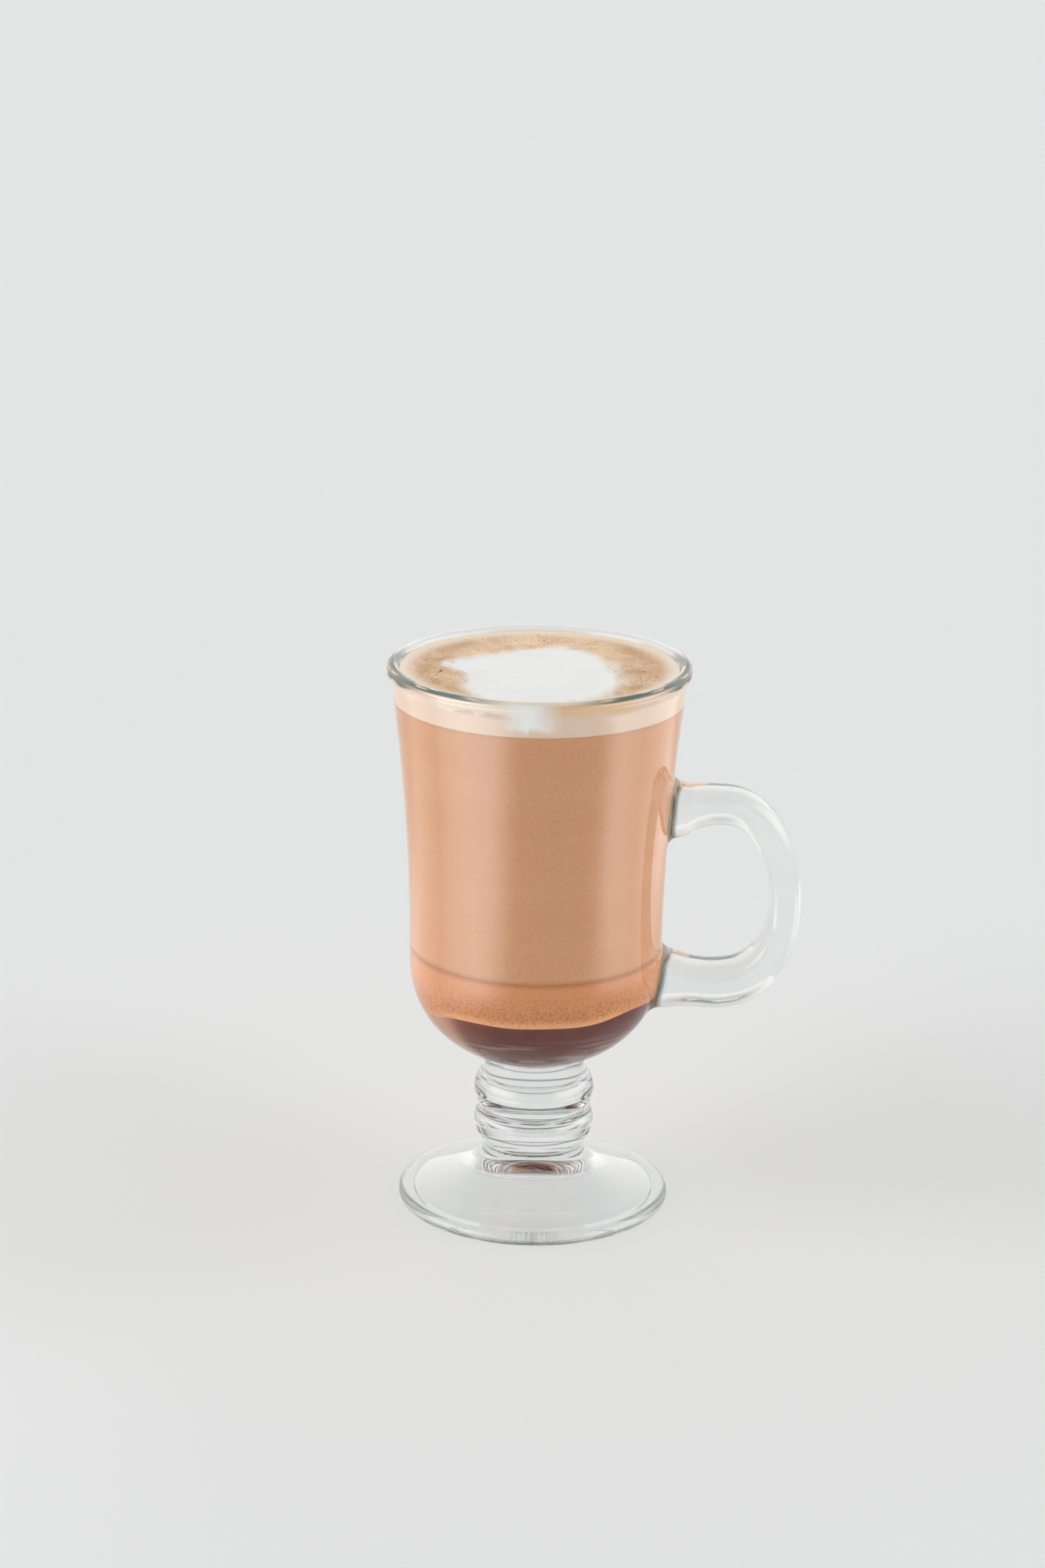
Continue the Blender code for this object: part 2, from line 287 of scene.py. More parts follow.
def fade_between(tree: Tree, value: Node | Socket, span: Point, fade: float) -> Node:
    """Adds a factor that is 1 inside a span and fades to 0 at its ends.

    Args:
        tree: the node tree.
        value: the coordinate.
        span: its lowest and highest value.
        fade: how far in from each end the factor reaches 1.

    Returns:
        The factor.
    """
    ends = [
        add_node(tree, "MapRange", [value, end, end + inwards], interpolation_type="SMOOTHSTEP")
        for end, inwards in zip(span, (fade, -fade))
    ]
    return add_node(tree, "Math", ends, operation="MULTIPLY")


def inside_zones(tree: Tree, where: Sequence[Node | Socket], zones: Sequence[Sequence[Triple]]) -> Node:
    """Adds a factor that is 1 inside any of some zones and fades to 0 at their ends.

    Args:
        tree: the node tree.
        where: coordinates.
        zones: for each zone, the lowest and highest value of each coordinate, and its fade.

    Returns:
        The factor.
    """

    def join(operation: str, factors: Sequence[Node]) -> Node:
        """Joins factors two by two with one operation."""
        return reduce(lambda a, b: add_node(tree, "Math", [a, b], operation=operation), factors)

    covers = []
    for zone in zones:
        shares = [fade_between(tree, value, ends, fade) for value, (*ends, fade) in zip(where, zone)]
        covers.append(join("MULTIPLY", shares))
    return join("MAXIMUM", covers)


def layered(tree: Tree, base: str, layers: Sequence[tuple[Node | Socket, str]]) -> Node:
    """Lays tints over a colour, one after another.

    Args:
        tree: the node tree.
        base: the colour's hex code.
        layers: for each layer, how far it covers, from 0 to 1, and its hex code.

    Returns:
        The colour.
    """
    colour = linear(base)
    for cover, tint in layers:
        colour = add_node(tree, "Mix", {0: cover, 6: colour, 7: linear(tint)}, data_type="RGBA")
    return colour


# ---------------------------------------------------------------- forms shared by glass and drink


@dataclass(frozen=True)
class BowlForm:
    """The bowl's inner and outer faces, as radii at each height."""

    shoulder_z: float = 66.0 * MM
    shoulder_radius: float = 31.9 * MM
    lip_z: float = 137.6 * MM
    lip_radius: float = 36.8 * MM
    depth: float = 28.4 * MM
    squareness: float = 2.35
    wall_at_lip: float = 2.4 * MM
    wall_at_shoulder: float = 3.0 * MM
    inner_floor_z: float = 44.5 * MM

    def rounded_bottom(self, z: float, across: float, depth: float) -> float:
        """Radius of a rounded bottom at a height, 0 at its lowest point."""
        share = min(1.0, (self.shoulder_z - z) / depth)
        return across * math.sqrt(max(0.0, 1.0 - share**self.squareness))

    def outer_radius(self, z: float) -> float:
        """Radius of the outer face at a height.

        Args:
            z: the height.

        Returns:
            The radius.
        """
        if z < self.shoulder_z:
            return self.rounded_bottom(z, self.shoulder_radius, self.depth)
        rise = (z - self.shoulder_z) / (self.lip_z - self.shoulder_z)
        return self.shoulder_radius + (self.lip_radius - self.shoulder_radius) * rise * rise

    def inner_radius(self, z: float, reach: float = 0.0) -> float:
        """Radius of the inner face at a height, moved outwards by reach.

        Args:
            z: the height.
            reach: how far outwards.

        Returns:
            The radius.
        """
        if z < self.shoulder_z:
            across = self.shoulder_radius - self.wall_at_shoulder + reach
            return self.rounded_bottom(z, across, self.shoulder_z - self.inner_floor_z + reach)
        rise = min(1.0, (z - self.shoulder_z) / (self.lip_z - self.shoulder_z))
        wall = self.wall_at_shoulder + (self.wall_at_lip - self.wall_at_shoulder) * rise
        return self.outer_radius(z) - wall + reach

    def bottom_heights(self, lowest: float, count: int) -> list[float]:
        """Heights from the shoulder down to lowest, closer together where the bottom curves."""
        drop = self.shoulder_z - lowest
        return [self.shoulder_z - drop * math.sin(a) for a in between(0.0, math.pi / 2, count)]


BOWL = BowlForm()


@dataclass(frozen=True)
class DrinkForm:
    """Levels of the drink's layers, and how far each reaches into the glass."""

    reach: float = 0.4 * MM
    syrup_level: float = 56.3 * MM
    base_level: float = 68.3 * MM
    mocha_level: float = 133.0 * MM
    foam_edge_level: float = 140.9 * MM
    foam_crown: float = 0.5 * MM
    segments: int = 160

    def side_radius(self, z: float) -> float:
        """Radius of the drink's side at a height."""
        return BOWL.inner_radius(z, self.reach)

    def side(self, low: float, high: float, count: int) -> list[Point]:
        """Side of a layer, from its top to its bottom."""
        return [(self.side_radius(z), z) for z in between(high, low, count)]


DRINK = DrinkForm()


@dataclass(frozen=True)
class SyrupTop:
    """The syrup's uneven top: slow waves, a bank by the handle and a dip on the other side."""

    wave_height: float = 0.5 * MM
    wave_rate_x: float = 210.0
    wave_rate_y: float = 170.0
    wave_shift_x: float = 0.6
    wave_shift_y: float = -0.4
    bank_height: float = 1.1 * MM
    bank_reach: float = 27.0 * MM
    bank_offset_y: float = 8.0 * MM
    bank_heading: float = -0.25
    bank_spread: float = 0.42
    dip_depth: float = 3.2 * MM
    dip_spread: float = 0.55

    def height(self, x: float, y: float) -> float:
        """Height of the syrup's top over a point.

        Args:
            x: the point's x.
            y: the point's y.

        Returns:
            The height, in metres.
        """
        waves = math.sin(x * self.wave_rate_x + self.wave_shift_x)
        waves *= math.cos(y * self.wave_rate_y + self.wave_shift_y)
        heading = math.atan2(y + self.bank_offset_y, x)
        reach = min(1.0, math.hypot(x, y) / self.bank_reach)
        bank = reach**3 * math.exp(-(((heading - self.bank_heading) / self.bank_spread) ** 2))
        opposite = math.atan2(y, -x)
        dip = reach**4 * math.exp(-((opposite / self.dip_spread) ** 4))
        rise = self.wave_height * waves + self.bank_height * bank - self.dip_depth * dip
        return DRINK.syrup_level + rise


SYRUP_TOP = SyrupTop()


@dataclass(frozen=True)
class FoamTop:
    """The foam's top face: a slight crown, fine unevenness, and a meniscus at the wall."""

    swell_width: float = 9.0 * MM
    swell_height: float = 0.10 * MM
    froth_width: float = 1.1 * MM
    froth_height: float = 0.05 * MM
    meniscus: float = 0.5 * MM
    meniscus_width: float = 1.4 * MM
    sunk_share: float = 0.6

    def height(self, x: float, y: float) -> float:
        """Height of the foam's top over a point.

        Args:
            x: the point's x.
            y: the point's y.

        Returns:
            The height, in metres.
        """
        rim = DRINK.side_radius(DRINK.foam_edge_level)
        radius = math.hypot(x, y)
        crown = DRINK.foam_crown * (1.0 - (min(radius, rim) / rim) ** 4)
        swell = noise.noise(Vector((x, y, 0.0)) / self.swell_width) * self.swell_height
        froth = noise.noise(Vector((x, y, self.swell_width)) / self.froth_width) * self.froth_height
        climb = self.meniscus * math.exp((radius - rim) / self.meniscus_width)
        return DRINK.foam_edge_level + crown + swell + froth + climb - self.meniscus * self.sunk_share


FOAM_TOP = FoamTop()


# ---------------------------------------------------------------- finishes


@dataclass(frozen=True)
class Finish:
    """A finish, built as one material."""

    name: str

    def shaders(self, tree: Tree) -> dict[str, Node]:
        """Adds the finish's shaders, by the output's input that each goes to."""
        raise NotImplementedError

    def material(self) -> bpy.types.Material:
        """Builds the finish's material.

        Returns:
            The material.
        """
        made = bpy.data.materials.new(self.name)
        tree = cleared(made)
        add_node(tree, "OutputMaterial", self.shaders(tree))
        return made


@dataclass(frozen=True)
class OpaqueFinish(Finish):
    """A finish that no light passes."""

    roughness: float = 0.5
    specular: float = 0.5

    def colour(self, tree: Tree) -> Node | Colour:
        """Adds the finish's colour."""
        raise NotImplementedError

    def shaders(self, tree: Tree) -> dict[str, Node]:
        """Adds one shader of the finish's colour."""
        looks = {"Roughness": self.roughness, "Specular IOR Level": self.specular}
        return {"Surface": add_node(tree, "BsdfPrincipled", {"Base Color": self.colour(tree), **looks})}


@dataclass(frozen=True)
class PlainFinish(OpaqueFinish):
    """A finish of one colour all over."""

    tint: str = "FFFFFF"

    def colour(self, tree: Tree) -> Colour:
        """The finish's colour, which needs no node."""
        return linear(self.tint)


@dataclass(frozen=True)
class SodaLimeGlass(Finish):
    """Pressed soda-lime glass, fire-polished.

    It is clear, with a faint blue-green in its thick parts and slow ripples that the mould leaves.
    The foot's resting ring is stippled, as pressed glass is where it would scratch; the stipple's dark specks
    are painted shade.
    The brim's painted dark reflection and the near edge's painted shade are zones in the distance from the YZ
    plane, y and z.
    """

    name: str = "pressed_soda_lime_glass"
    refraction: float = 1.52
    tint: str = "FDFDFD"
    depth_tint: str = "A3C4C8"
    depth_density: float = 3.0
    shadow_tint: str = "FBFCFC"
    # Painted dark reflection on the brim: its tint, its zones at both sides and along the near top, and its
    # streaks.
    brim_painted_reflection_tint: str = "304A52"
    brim_reflection_sides: tuple[Triple, ...] = (mm(25.0, 60.0, 9.0), mm(-80.0, 18.0, 14.0), mm(139.6, 150.0, 1.0))
    brim_reflection_line: tuple[Triple, ...] = (mm(5.0, 80.0, 14.0), mm(-70.0, 8.0, 12.0), mm(141.2, 150.0, 0.5))
    reflection_streak_width: float = 1.2 * MM
    reflection_streak_stretch: float = 0.12
    reflection_streak_span: Point = (0.41, 0.48)
    # The joints' teal is a painted refraction of the surroundings; their roughness frosts them.
    joint_refraction_tint: str = "7DA0A6"
    joint_roughness: float = 0.3
    # Painted dark refraction lines round the stem, at given heights by its ring edges.
    stem_line_shade_tint: str = "76868A"
    stem_line_fade: float = 0.2 * MM
    stem_shade_lines: tuple[Point, ...] = (
        mm(38.1, 38.6), mm(28.9, 29.6), mm(25.0, 25.6), mm(19.0, 19.6), mm(15.3, 15.8)
    )
    ripple_width: float = 9.0 * MM
    ripple_height: float = 0.004 * MM
    stipple_width: float = 0.5 * MM
    stipple_squeeze: Triple = (0.8, 3.0, 2.2)
    stipple_height: float = 0.015 * MM
    stipple_top: float = 0.35 * MM
    # Painted shade: the stipple's dark specks, faint all round the resting ring and strong along the near
    # edge of the foot.
    stipple_shade_tint: str = "2E3436"
    stipple_ramp: Ramp = (0.28, 0.5, 0.0, 0.8)
    stipple_share: float = 0.12
    near_edge_shade: tuple[Triple, ...] = (mm(-16.0, 16.0, 7.0), mm(-50.0, -29.0, 2.0), mm(0.0, 1.2, 0.3))

    def shaders(self, tree: Tree) -> dict[str, Node]:
        """Adds glass that lets shadow and diffuse rays pass, and the tint of its depth.

        Args:
            tree: the material's node tree.

        Returns:
            The shaders, by the output's input that each goes to.
        """
        place = add_node(tree, "TexCoord").outputs["Object"]
        axes = add_node(tree, "SeparateXYZ", [place]).outputs
        where = (add_node(tree, "Math", [axes["X"]], operation="ABSOLUTE"), axes["Y"], axes["Z"])
        slow = {"Vector": place, "Scale": 1.0 / self.ripple_width, "Detail": 1.0}
        ripple = add_node(tree, "TexNoise", slow)
        waves = add_node(tree, "Bump", {"Distance": self.ripple_height, "Height": ripple})
        squeezed = add_node(tree, "Mapping", {"Vector": place, "Scale": self.stipple_squeeze})
        cells = {"Vector": squeezed, "Scale": 1.0 / self.stipple_width, "Randomness": 0.8}
        stipple = add_node(tree, "TexVoronoi", cells, feature="SMOOTH_F1")
        below = add_node(tree, "Math", [axes["Z"], self.stipple_top], operation="LESS_THAN")
        knobs = add_node(tree, "Math", [stipple, below], operation="MULTIPLY")
        surface = add_node(tree, "Bump", {"Distance": self.stipple_height, "Height": knobs, "Normal": waves})
        # Painted dark refraction lines round the stem.
        shade_line_zones = [[(*span, self.stem_line_fade)] for span in self.stem_shade_lines]
        lines = inside_zones(tree, [axes["Z"]], shade_line_zones)
        # Painted shade on the stipple: faint on the resting ring, strong along the near edge.
        resting = add_node(tree, "Math", [below, self.stipple_share], operation="MULTIPLY")
        near_shade = inside_zones(tree, where, [self.near_edge_shade])
        ring = add_node(tree, "Math", [resting, near_shade], operation="MAXIMUM")
        specks = add_node(tree, "MapRange", [stipple, *self.stipple_ramp])
        specks = add_node(tree, "Math", [specks, ring], operation="MULTIPLY")
        joint = add_node(tree, "Attribute", attribute_name="joint").outputs["Fac"]
        layers = (
            (self.painted_brim_reflection(tree, place, where), self.brim_painted_reflection_tint),
            (lines, self.stem_line_shade_tint),
            (specks, self.stipple_shade_tint),
            (joint, self.joint_refraction_tint),
        )
        looks = {
            "Base Color": layered(tree, self.tint, layers),
            "Roughness": add_node(tree, "Math", [joint, self.joint_roughness], operation="MULTIPLY"),
            "IOR": self.refraction,
            "Normal": surface,
            "Transmission Weight": 1.0,
        }
        glass = add_node(tree, "BsdfPrincipled", looks)
        rays = add_node(tree, "LightPath").outputs
        passes = add_node(tree, "Math", [rays["Is Shadow Ray"], rays["Is Diffuse Ray"]], operation="MAXIMUM")
        clear = add_node(tree, "BsdfTransparent", [linear(self.shadow_tint)])
        depth = {"Color": linear(self.depth_tint), "Density": self.depth_density}
        return {
            "Surface": add_node(tree, "MixShader", [passes, glass, clear]),
            "Volume": add_node(tree, "VolumeAbsorption", depth),
        }

    def painted_brim_reflection(self, tree: Tree, place: Socket, where: Sequence[Node | Socket]) -> Node:
        """Adds a factor for the brim's painted dark reflection: both of its sides, and a line along its near
        top.

        Args:
            tree: the node tree.
            place: Object coordinates.
            where: the distance from the YZ plane, y and z.

        Returns:
            The factor.
        """
        cover = inside_zones(tree, where, (self.brim_reflection_sides, self.brim_reflection_line))
        level = add_node(tree, "VectorMath", [place, LEVEL], operation="MULTIPLY")
        radius = add_node(tree, "VectorMath", [level], operation="LENGTH")
        along = add_node(tree, "Math", [where[1], self.reflection_streak_stretch], operation="MULTIPLY")
        stretched = add_node(tree, "CombineXYZ", [radius, along, where[2]])
        streaks = add_node(tree, "TexNoise", {"Vector": stretched, "Scale": 1.0 / self.reflection_streak_width})
        patchy_reflection = add_node(tree, "MapRange", [streaks, *self.reflection_streak_span], interpolation_type="SMOOTHSTEP")
        return add_node(tree, "Math", [cover, patchy_reflection], operation="MULTIPLY")


@dataclass(frozen=True)
class ChocolateSyrup(OpaqueFinish):
    """Thick chocolate syrup: near-black brown, redder where it thins out against the glass."""

    name: str = "chocolate_syrup"
    roughness: float = 0.4
    specular: float = 0.2
    deep: str = "611D10"
    thin: str = "86402B"
    thin_span: Point = mm(-8.0, -24.0)
    cloud_width: float = 5.0 * MM
    cloud_ramp: Ramp = (0.35, 0.7, 0.0, 0.35)
    smear: str = "C88C6C"
    smear_span: Point = (-0.66, -0.84)
    streak: str = "A58C7C"
    streak_height: float = 0.8 * MM
    streak_squeeze: Triple = (0.06, 0.06, 1.0)
    streak_ramp: Ramp = (0.5, 0.68, 0.0, 0.8)
    streak_heights: Point = mm(53.0, 49.5)

    def colour(self, tree: Tree) -> Node:
        """Adds the syrup's brown, clouded, smeared opposite the handle and streaked at the bottom.

        Args:
            tree: the material's node tree.

        Returns:
            The colour.
        """
        place = add_node(tree, "TexCoord").outputs["Object"]
        axes = add_node(tree, "SeparateXYZ", [place]).outputs
        side = add_node(tree, "MapRange", [axes["X"], *self.thin_span], interpolation_type="SMOOTHSTEP")
        clouds = add_node(tree, "TexNoise", {"Vector": place, "Scale": 1.0 / self.cloud_width, "Detail": 3.0})
        clouds = add_node(tree, "MapRange", [clouds, *self.cloud_ramp])
        thinned = add_node(tree, "Math", [side, clouds], use_clamp=True)
        level = add_node(tree, "VectorMath", [place, LEVEL], operation="MULTIPLY")
        around = add_node(tree, "VectorMath", [level], operation="NORMALIZE")
        turn = add_node(tree, "SeparateXYZ", [around]).outputs["X"]
        smeared = add_node(tree, "MapRange", [turn, *self.smear_span], interpolation_type="SMOOTHSTEP")
        flattened = add_node(tree, "Mapping", {"Vector": place, "Scale": self.streak_squeeze})
        streaks = add_node(tree, "TexNoise", {"Vector": flattened, "Scale": 1.0 / self.streak_height})
        streaks = add_node(tree, "MapRange", [streaks, *self.streak_ramp])
        low = add_node(tree, "MapRange", [axes["Z"], *self.streak_heights])
        streaked = add_node(tree, "Math", [streaks, low], operation="MULTIPLY")
        layers = ((thinned, self.thin), (smeared, self.smear), (streaked, self.streak))
        return layered(tree, self.deep, layers)


@dataclass(frozen=True)
class GrainyMocha(OpaqueFinish):
    """Coffee with chocolate grains settling through it.

    It is orange-brown, speckled, and brightest in the thin band that floats on the syrup.
    The grains are finer than a picture shows, so they are drawn half a millimetre wide.
    """

    name: str = "grainy_mocha"
    roughness: float = 0.6
    specular: float = 0.1
    body: str = "DB8F5E"
    grain: str = "A8602F"
    grain_width: float = 0.55 * MM
    grain_span: Point = (0.45, 0.66)
    settled_ramp: Ramp = (9.0 * MM, 1.5 * MM, 0.25, 1.0)
    halo: str = "FFB884"
    halo_heights: Point = mm(3.6, 0.5)
    halo_fray: float = 1.6 * MM
    halo_span: Point = mm(-25.0, 24.0)
    halo_fade: float = 9.0 * MM
    halo_gain: float = 0.7
    halo_least: float = 0.2
    line: str = "B9713F"
    line_ramp: Ramp = (DRINK.base_level - 1.7 * MM, DRINK.base_level - 0.3 * MM, 0.0, 0.9)

    def colour(self, tree: Tree) -> Node:
        """Adds the layer's brown, with its grains, the halo over the syrup and a line at its top.

        Args:
            tree: the material's node tree.

        Returns:
            The colour.
        """
        place = add_node(tree, "TexCoord").outputs["Object"]
        axes = add_node(tree, "SeparateXYZ", [place]).outputs
        rise = add_node(tree, "Attribute", attribute_name="above_syrup").outputs["Fac"]
        rough = {"Vector": place, "Scale": 1.0 / self.grain_width, "Roughness": 0.7}
        grit = add_node(tree, "TexNoise", rough)
        settled = add_node(tree, "MapRange", [rise, *self.settled_ramp])
        grains = add_node(tree, "MapRange", [grit, *self.grain_span])
        grains = add_node(tree, "Math", [grains, settled], operation="MULTIPLY")
        frayed = add_node(tree, "Math", [grit, self.halo_fray, rise], operation="MULTIPLY_ADD")
        halo = add_node(tree, "MapRange", [frayed, *self.halo_heights], interpolation_type="SMOOTHSTEP")
        middle = fade_between(tree, axes["X"], self.halo_span, self.halo_fade)
        kept = add_node(tree, "Math", [middle, self.halo_gain, self.halo_least], operation="MULTIPLY_ADD")
        halo = add_node(tree, "Math", [halo, kept], operation="MULTIPLY")
        top = add_node(tree, "MapRange", [axes["Z"], *self.line_ramp], interpolation_type="SMOOTHSTEP")
        return layered(tree, self.body, ((grains, self.grain), (halo, self.halo), (top, self.line)))


@dataclass(frozen=True)
class MilkyCoffee(OpaqueFinish):
    """Coffee with steamed milk and chocolate: opaque, even, with the faintest level bands."""

    name: str = "milky_coffee"
    roughness: float = 0.6
    specular: float = 0.1
    body: str = "DDA078"
    band: str = "D19164"
    band_height: float = 7.0 * MM
    band_squeeze: Triple = (0.12, 0.12, 1.0)
    fleck: str = "C58A60"
    fleck_width: float = 0.45 * MM
    fleck_ramp: Ramp = (0.42, 0.68, 0.0, 0.6)

    def colour(self, tree: Tree) -> Node:
        """Adds the coffee's brown, with its bands and flecks.

        Args:
            tree: the material's node tree.

        Returns:
            The colour.
        """
        place = add_node(tree, "TexCoord").outputs["Object"]
        flattened = add_node(tree, "Mapping", {"Vector": place, "Scale": self.band_squeeze})
        waves = {"Vector": flattened, "Scale": 1.0 / self.band_height, "Detail": 3.0, "Distortion": 0.4}
        bands = add_node(tree, "TexNoise", waves)
        flecks = add_node(tree, "TexNoise", {"Vector": place, "Scale": 1.0 / self.fleck_width, "Detail": 1.0})
        flecks = add_node(tree, "MapRange", [flecks, *self.fleck_ramp])
        return layered(tree, self.body, ((bands, self.band), (flecks, self.fleck)))


@dataclass(frozen=True)
class CremaFoam(OpaqueFinish):
    """Coffee foam: cream against the glass, and a brown crema on top, mottled and finely speckled.

    A near streak is a tint and its zone in x and z; the first is a painted highlight under the near brim.
    """

    name: str = "crema_foam"
    specular: float = 0.3
    cream: str = "E8C9B3"
    crema: str = "F2D2AF"
    deep_crema: str = "C4966B"
    mottle_width: float = 7.0 * MM
    mottle_span: Point = (0.3, 0.78)
    side_ramp: Ramp = (12.0 * MM, 23.0 * MM, -0.1, 0.34)
    speck: str = "8A5D3B"
    speck_width: float = 0.6 * MM
    speck_ramp: Ramp = (0.54, 0.74, 0.0, 0.75)
    rim_cream: str = "F1DFCE"
    rim_span: Point = mm(29.4, 34.4)
    rim_waver: Point = mm(2.5, -1.2)
    top_span: Point = (DRINK.foam_edge_level - 0.4 * MM, DRINK.foam_edge_level - 0.1 * MM)
    comb_width: float = 3.0 * MM
    comb_squeeze: Triple = (1.0, 1.0, 0.4)
    comb_shift: float = 5.0 * MM
    near_highlight_and_streaks: tuple[tuple[str, Triple, Triple], ...] = (
        # Painted highlight along the near left of the brim.
        ("F6E4D2", mm(-26.0, -3.0, 3.6), mm(138.2, 143.0, 0.9)),
        ("E9C39A", mm(1.5, 24.0, 3.6), mm(138.0, 143.0, 0.9)),
        ("F8F5F3", mm(-11.0, 6.0, 8.0), mm(134.0, 150.0, 2.0)),
    )

    def top_colour(self, tree: Tree, place: Socket) -> Node:
        """Adds the crema's pattern, which the milk foam also fades into.

        Args:
            tree: the node tree.
            place: Object coordinates.

        Returns:
            The colour.
        """
        clouds = {"Scale": 1.0 / self.mottle_width, "Detail": 5.0, "Roughness": 0.6, "Distortion": 0.6}
        mottle = add_node(tree, "TexNoise", {"Vector": place, **clouds})
        shade = add_node(tree, "MapRange", [mottle, *self.mottle_span])
        x = add_node(tree, "SeparateXYZ", [place]).outputs["X"]
        out = add_node(tree, "Math", [x], operation="ABSOLUTE")
        beside = add_node(tree, "MapRange", [out, *self.side_ramp], interpolation_type="SMOOTHSTEP")
        shade = add_node(tree, "Math", [shade, beside], use_clamp=True)
        rough = {"Vector": place, "Scale": 1.0 / self.speck_width, "Roughness": 0.6}
        specks = add_node(tree, "MapRange", [add_node(tree, "TexNoise", rough), *self.speck_ramp])
        level = add_node(tree, "VectorMath", [place, LEVEL], operation="MULTIPLY")
        radius = add_node(tree, "VectorMath", [level], operation="LENGTH")
        waver = add_node(tree, "Math", [mottle, *self.rim_waver], operation="MULTIPLY_ADD")
        edge = add_node(tree, "Math", [radius, waver])
        rim = add_node(tree, "MapRange", [edge, *self.rim_span], interpolation_type="SMOOTHSTEP")
        layers = ((shade, self.deep_crema), (specks, self.speck), (rim, self.rim_cream))
        return layered(tree, self.crema, layers)

    def side_colour(self, tree: Tree, place: Socket) -> Node:
        """Adds the band at the glass: cream, with a painted highlight, milk and a crema streak under the near
        brim.

        Args:
            tree: the node tree.
            place: Object coordinates.

        Returns:
            The colour.
        """
        combed = add_node(tree, "Mapping", {"Vector": place, "Scale": self.comb_squeeze})
        comb = add_node(tree, "TexNoise", {"Vector": combed, "Scale": 1.0 / self.comb_width})
        jitter = add_node(tree, "VectorMath", [comb.outputs["Color"], HALF_GREY], operation="SUBTRACT")
        shift = (self.comb_shift,) * 3
        shifted = add_node(tree, "VectorMath", [jitter, shift, place], operation="MULTIPLY_ADD")
        axes = add_node(tree, "SeparateXYZ", [shifted]).outputs
        near = add_node(tree, "Math", [axes["Y"], 0.0], operation="LESS_THAN")
        layers = []
        for tint, *zone in self.near_highlight_and_streaks:
            cover = [near, inside_zones(tree, (axes["X"], axes["Z"]), [zone])]
            layers.append((add_node(tree, "Math", cover, operation="MULTIPLY"), tint))
        return layered(tree, self.cream, layers)

    def colour(self, tree: Tree) -> Node:
        """Adds the foam's colour, cream at its side and crema on top.

        Args:
            tree: the material's node tree.

        Returns:
            The colour.
        """
        place = add_node(tree, "TexCoord").outputs["Object"]
        height = add_node(tree, "SeparateXYZ", [place]).outputs["Z"]
        up = add_node(tree, "MapRange", [height, *self.top_span])
        parts = {0: up, 6: self.side_colour(tree, place), 7: self.top_colour(tree, place)}
        return add_node(tree, "Mix", parts, data_type="RGBA")


@dataclass(frozen=True)
class MilkFoam(OpaqueFinish):
    """Steamed milk foam: white and satin, its edge fading into the crema in fine tongues."""

    name: str = "steamed_milk_foam"
    specular: float = 0.3
    white: str = "F2F1F1"
    shade: str = "E6E4E3"
    cloud_width: float = 6.0 * MM
    tongue_width: float = 3.0 * MM
    tongue_squeeze: Triple = (1.0, 0.4, 1.0)
    tongue_length: float = 3.4 * MM
    edge_span: Point = mm(-3.0, 3.0)
    crema: CremaFoam = CremaFoam()

    def colour(self, tree: Tree) -> Node:
        """Adds the foam's white, and the crema beyond its ragged edge.

        Args:
            tree: the material's node tree.

        Returns:
            The colour.
        """
        place = add_node(tree, "TexCoord").outputs["Object"]
        clouds = add_node(tree, "TexNoise", {"Vector": place, "Scale": 1.0 / self.cloud_width, "Detail": 3.0})
        white = layered(tree, self.white, [(clouds, self.shade)])
        inside = add_node(tree, "Attribute", attribute_name="inside").outputs["Fac"]
        stretched = add_node(tree, "Mapping", {"Vector": place, "Scale": self.tongue_squeeze})
        fine = {"Vector": stretched, "Scale": 1.0 / self.tongue_width, "Detail": 3.0}
        tongues = add_node(tree, "TexNoise", fine)
        reach = self.tongue_length
        ragged = add_node(tree, "Math", [tongues, 2.0 * reach, -reach], operation="MULTIPLY_ADD")
        edge = add_node(tree, "Math", [inside, ragged])
        cover = add_node(tree, "MapRange", [edge, *self.edge_span], interpolation_type="SMOOTHSTEP")
        parts = {0: cover, 6: self.crema.top_colour(tree, place), 7: white}
        return add_node(tree, "Mix", parts, data_type="RGBA")


# The film of coffee round an open bubble: dark brown, with a wet gleam.
BUBBLE_FILM = PlainFinish("crema_bubble", roughness=0.25, tint="6B4328")

# Matte painted board: pale and even, without a gleam.
MATTE_BOARD = PlainFinish("matte_studio_floor", roughness=0.9, specular=0.1, tint="E9E9EA")


# ---------------------------------------------------------------- pieces


@dataclass(frozen=True)
class Piece:
    """One visible piece that rides on the mug's only body."""

    name: str
    slot: Slot
    finish: Finish
    node: str | None = None

    def build(self) -> bpy.types.Object:
        """Makes the piece's object, at its place."""
        raise NotImplementedError

    def place(self) -> None:
        """Builds and dresses the piece, and ties it to the frame."""
        made = self.build()
        made.data.materials.clear()
        made.data.materials.append(self.finish.material())
        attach(made, "root")
        if self.node:
            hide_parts(self.node)
        log.info("%s: %d faces", made.name, len(made.data.polygons))


@dataclass(frozen=True)
class StemRing:
    """One ring of the stem: a domed upper face, a sharp widest edge and a chamfer below it."""

    top: float
    widest: float
    chamfer_foot: float
    bottom: float
    stem_radius: float = 12.8 * MM
    radius: float = 15.3 * MM
    chamfer: float = 0.8 * MM
    neck_radius: float = 13.1 * MM
    edge_fillet: float = 0.15 * MM
    dome_angles: tuple[int, ...] = (78, 66, 54, 42, 30, 18, 8)

    def corners(self) -> list[Triple]:
        """Corners from the ring's top to the neck below it, with their fillets.

        Returns:
            Radius, height and fillet of each corner.
        """
        bulge, rise = self.radius - self.stem_radius, self.top - self.widest
        turns = [math.radians(angle) for angle in self.dome_angles]
        return [
            (self.stem_radius, self.top, self.edge_fillet),
            *((self.stem_radius + bulge * math.cos(a), self.widest + rise * math.sin(a), 0.0) for a in turns),
            (self.radius, self.widest, self.edge_fillet),
            (self.radius - self.chamfer, self.chamfer_foot, self.edge_fillet),
            (self.neck_radius, self.bottom, self.edge_fillet),
        ]


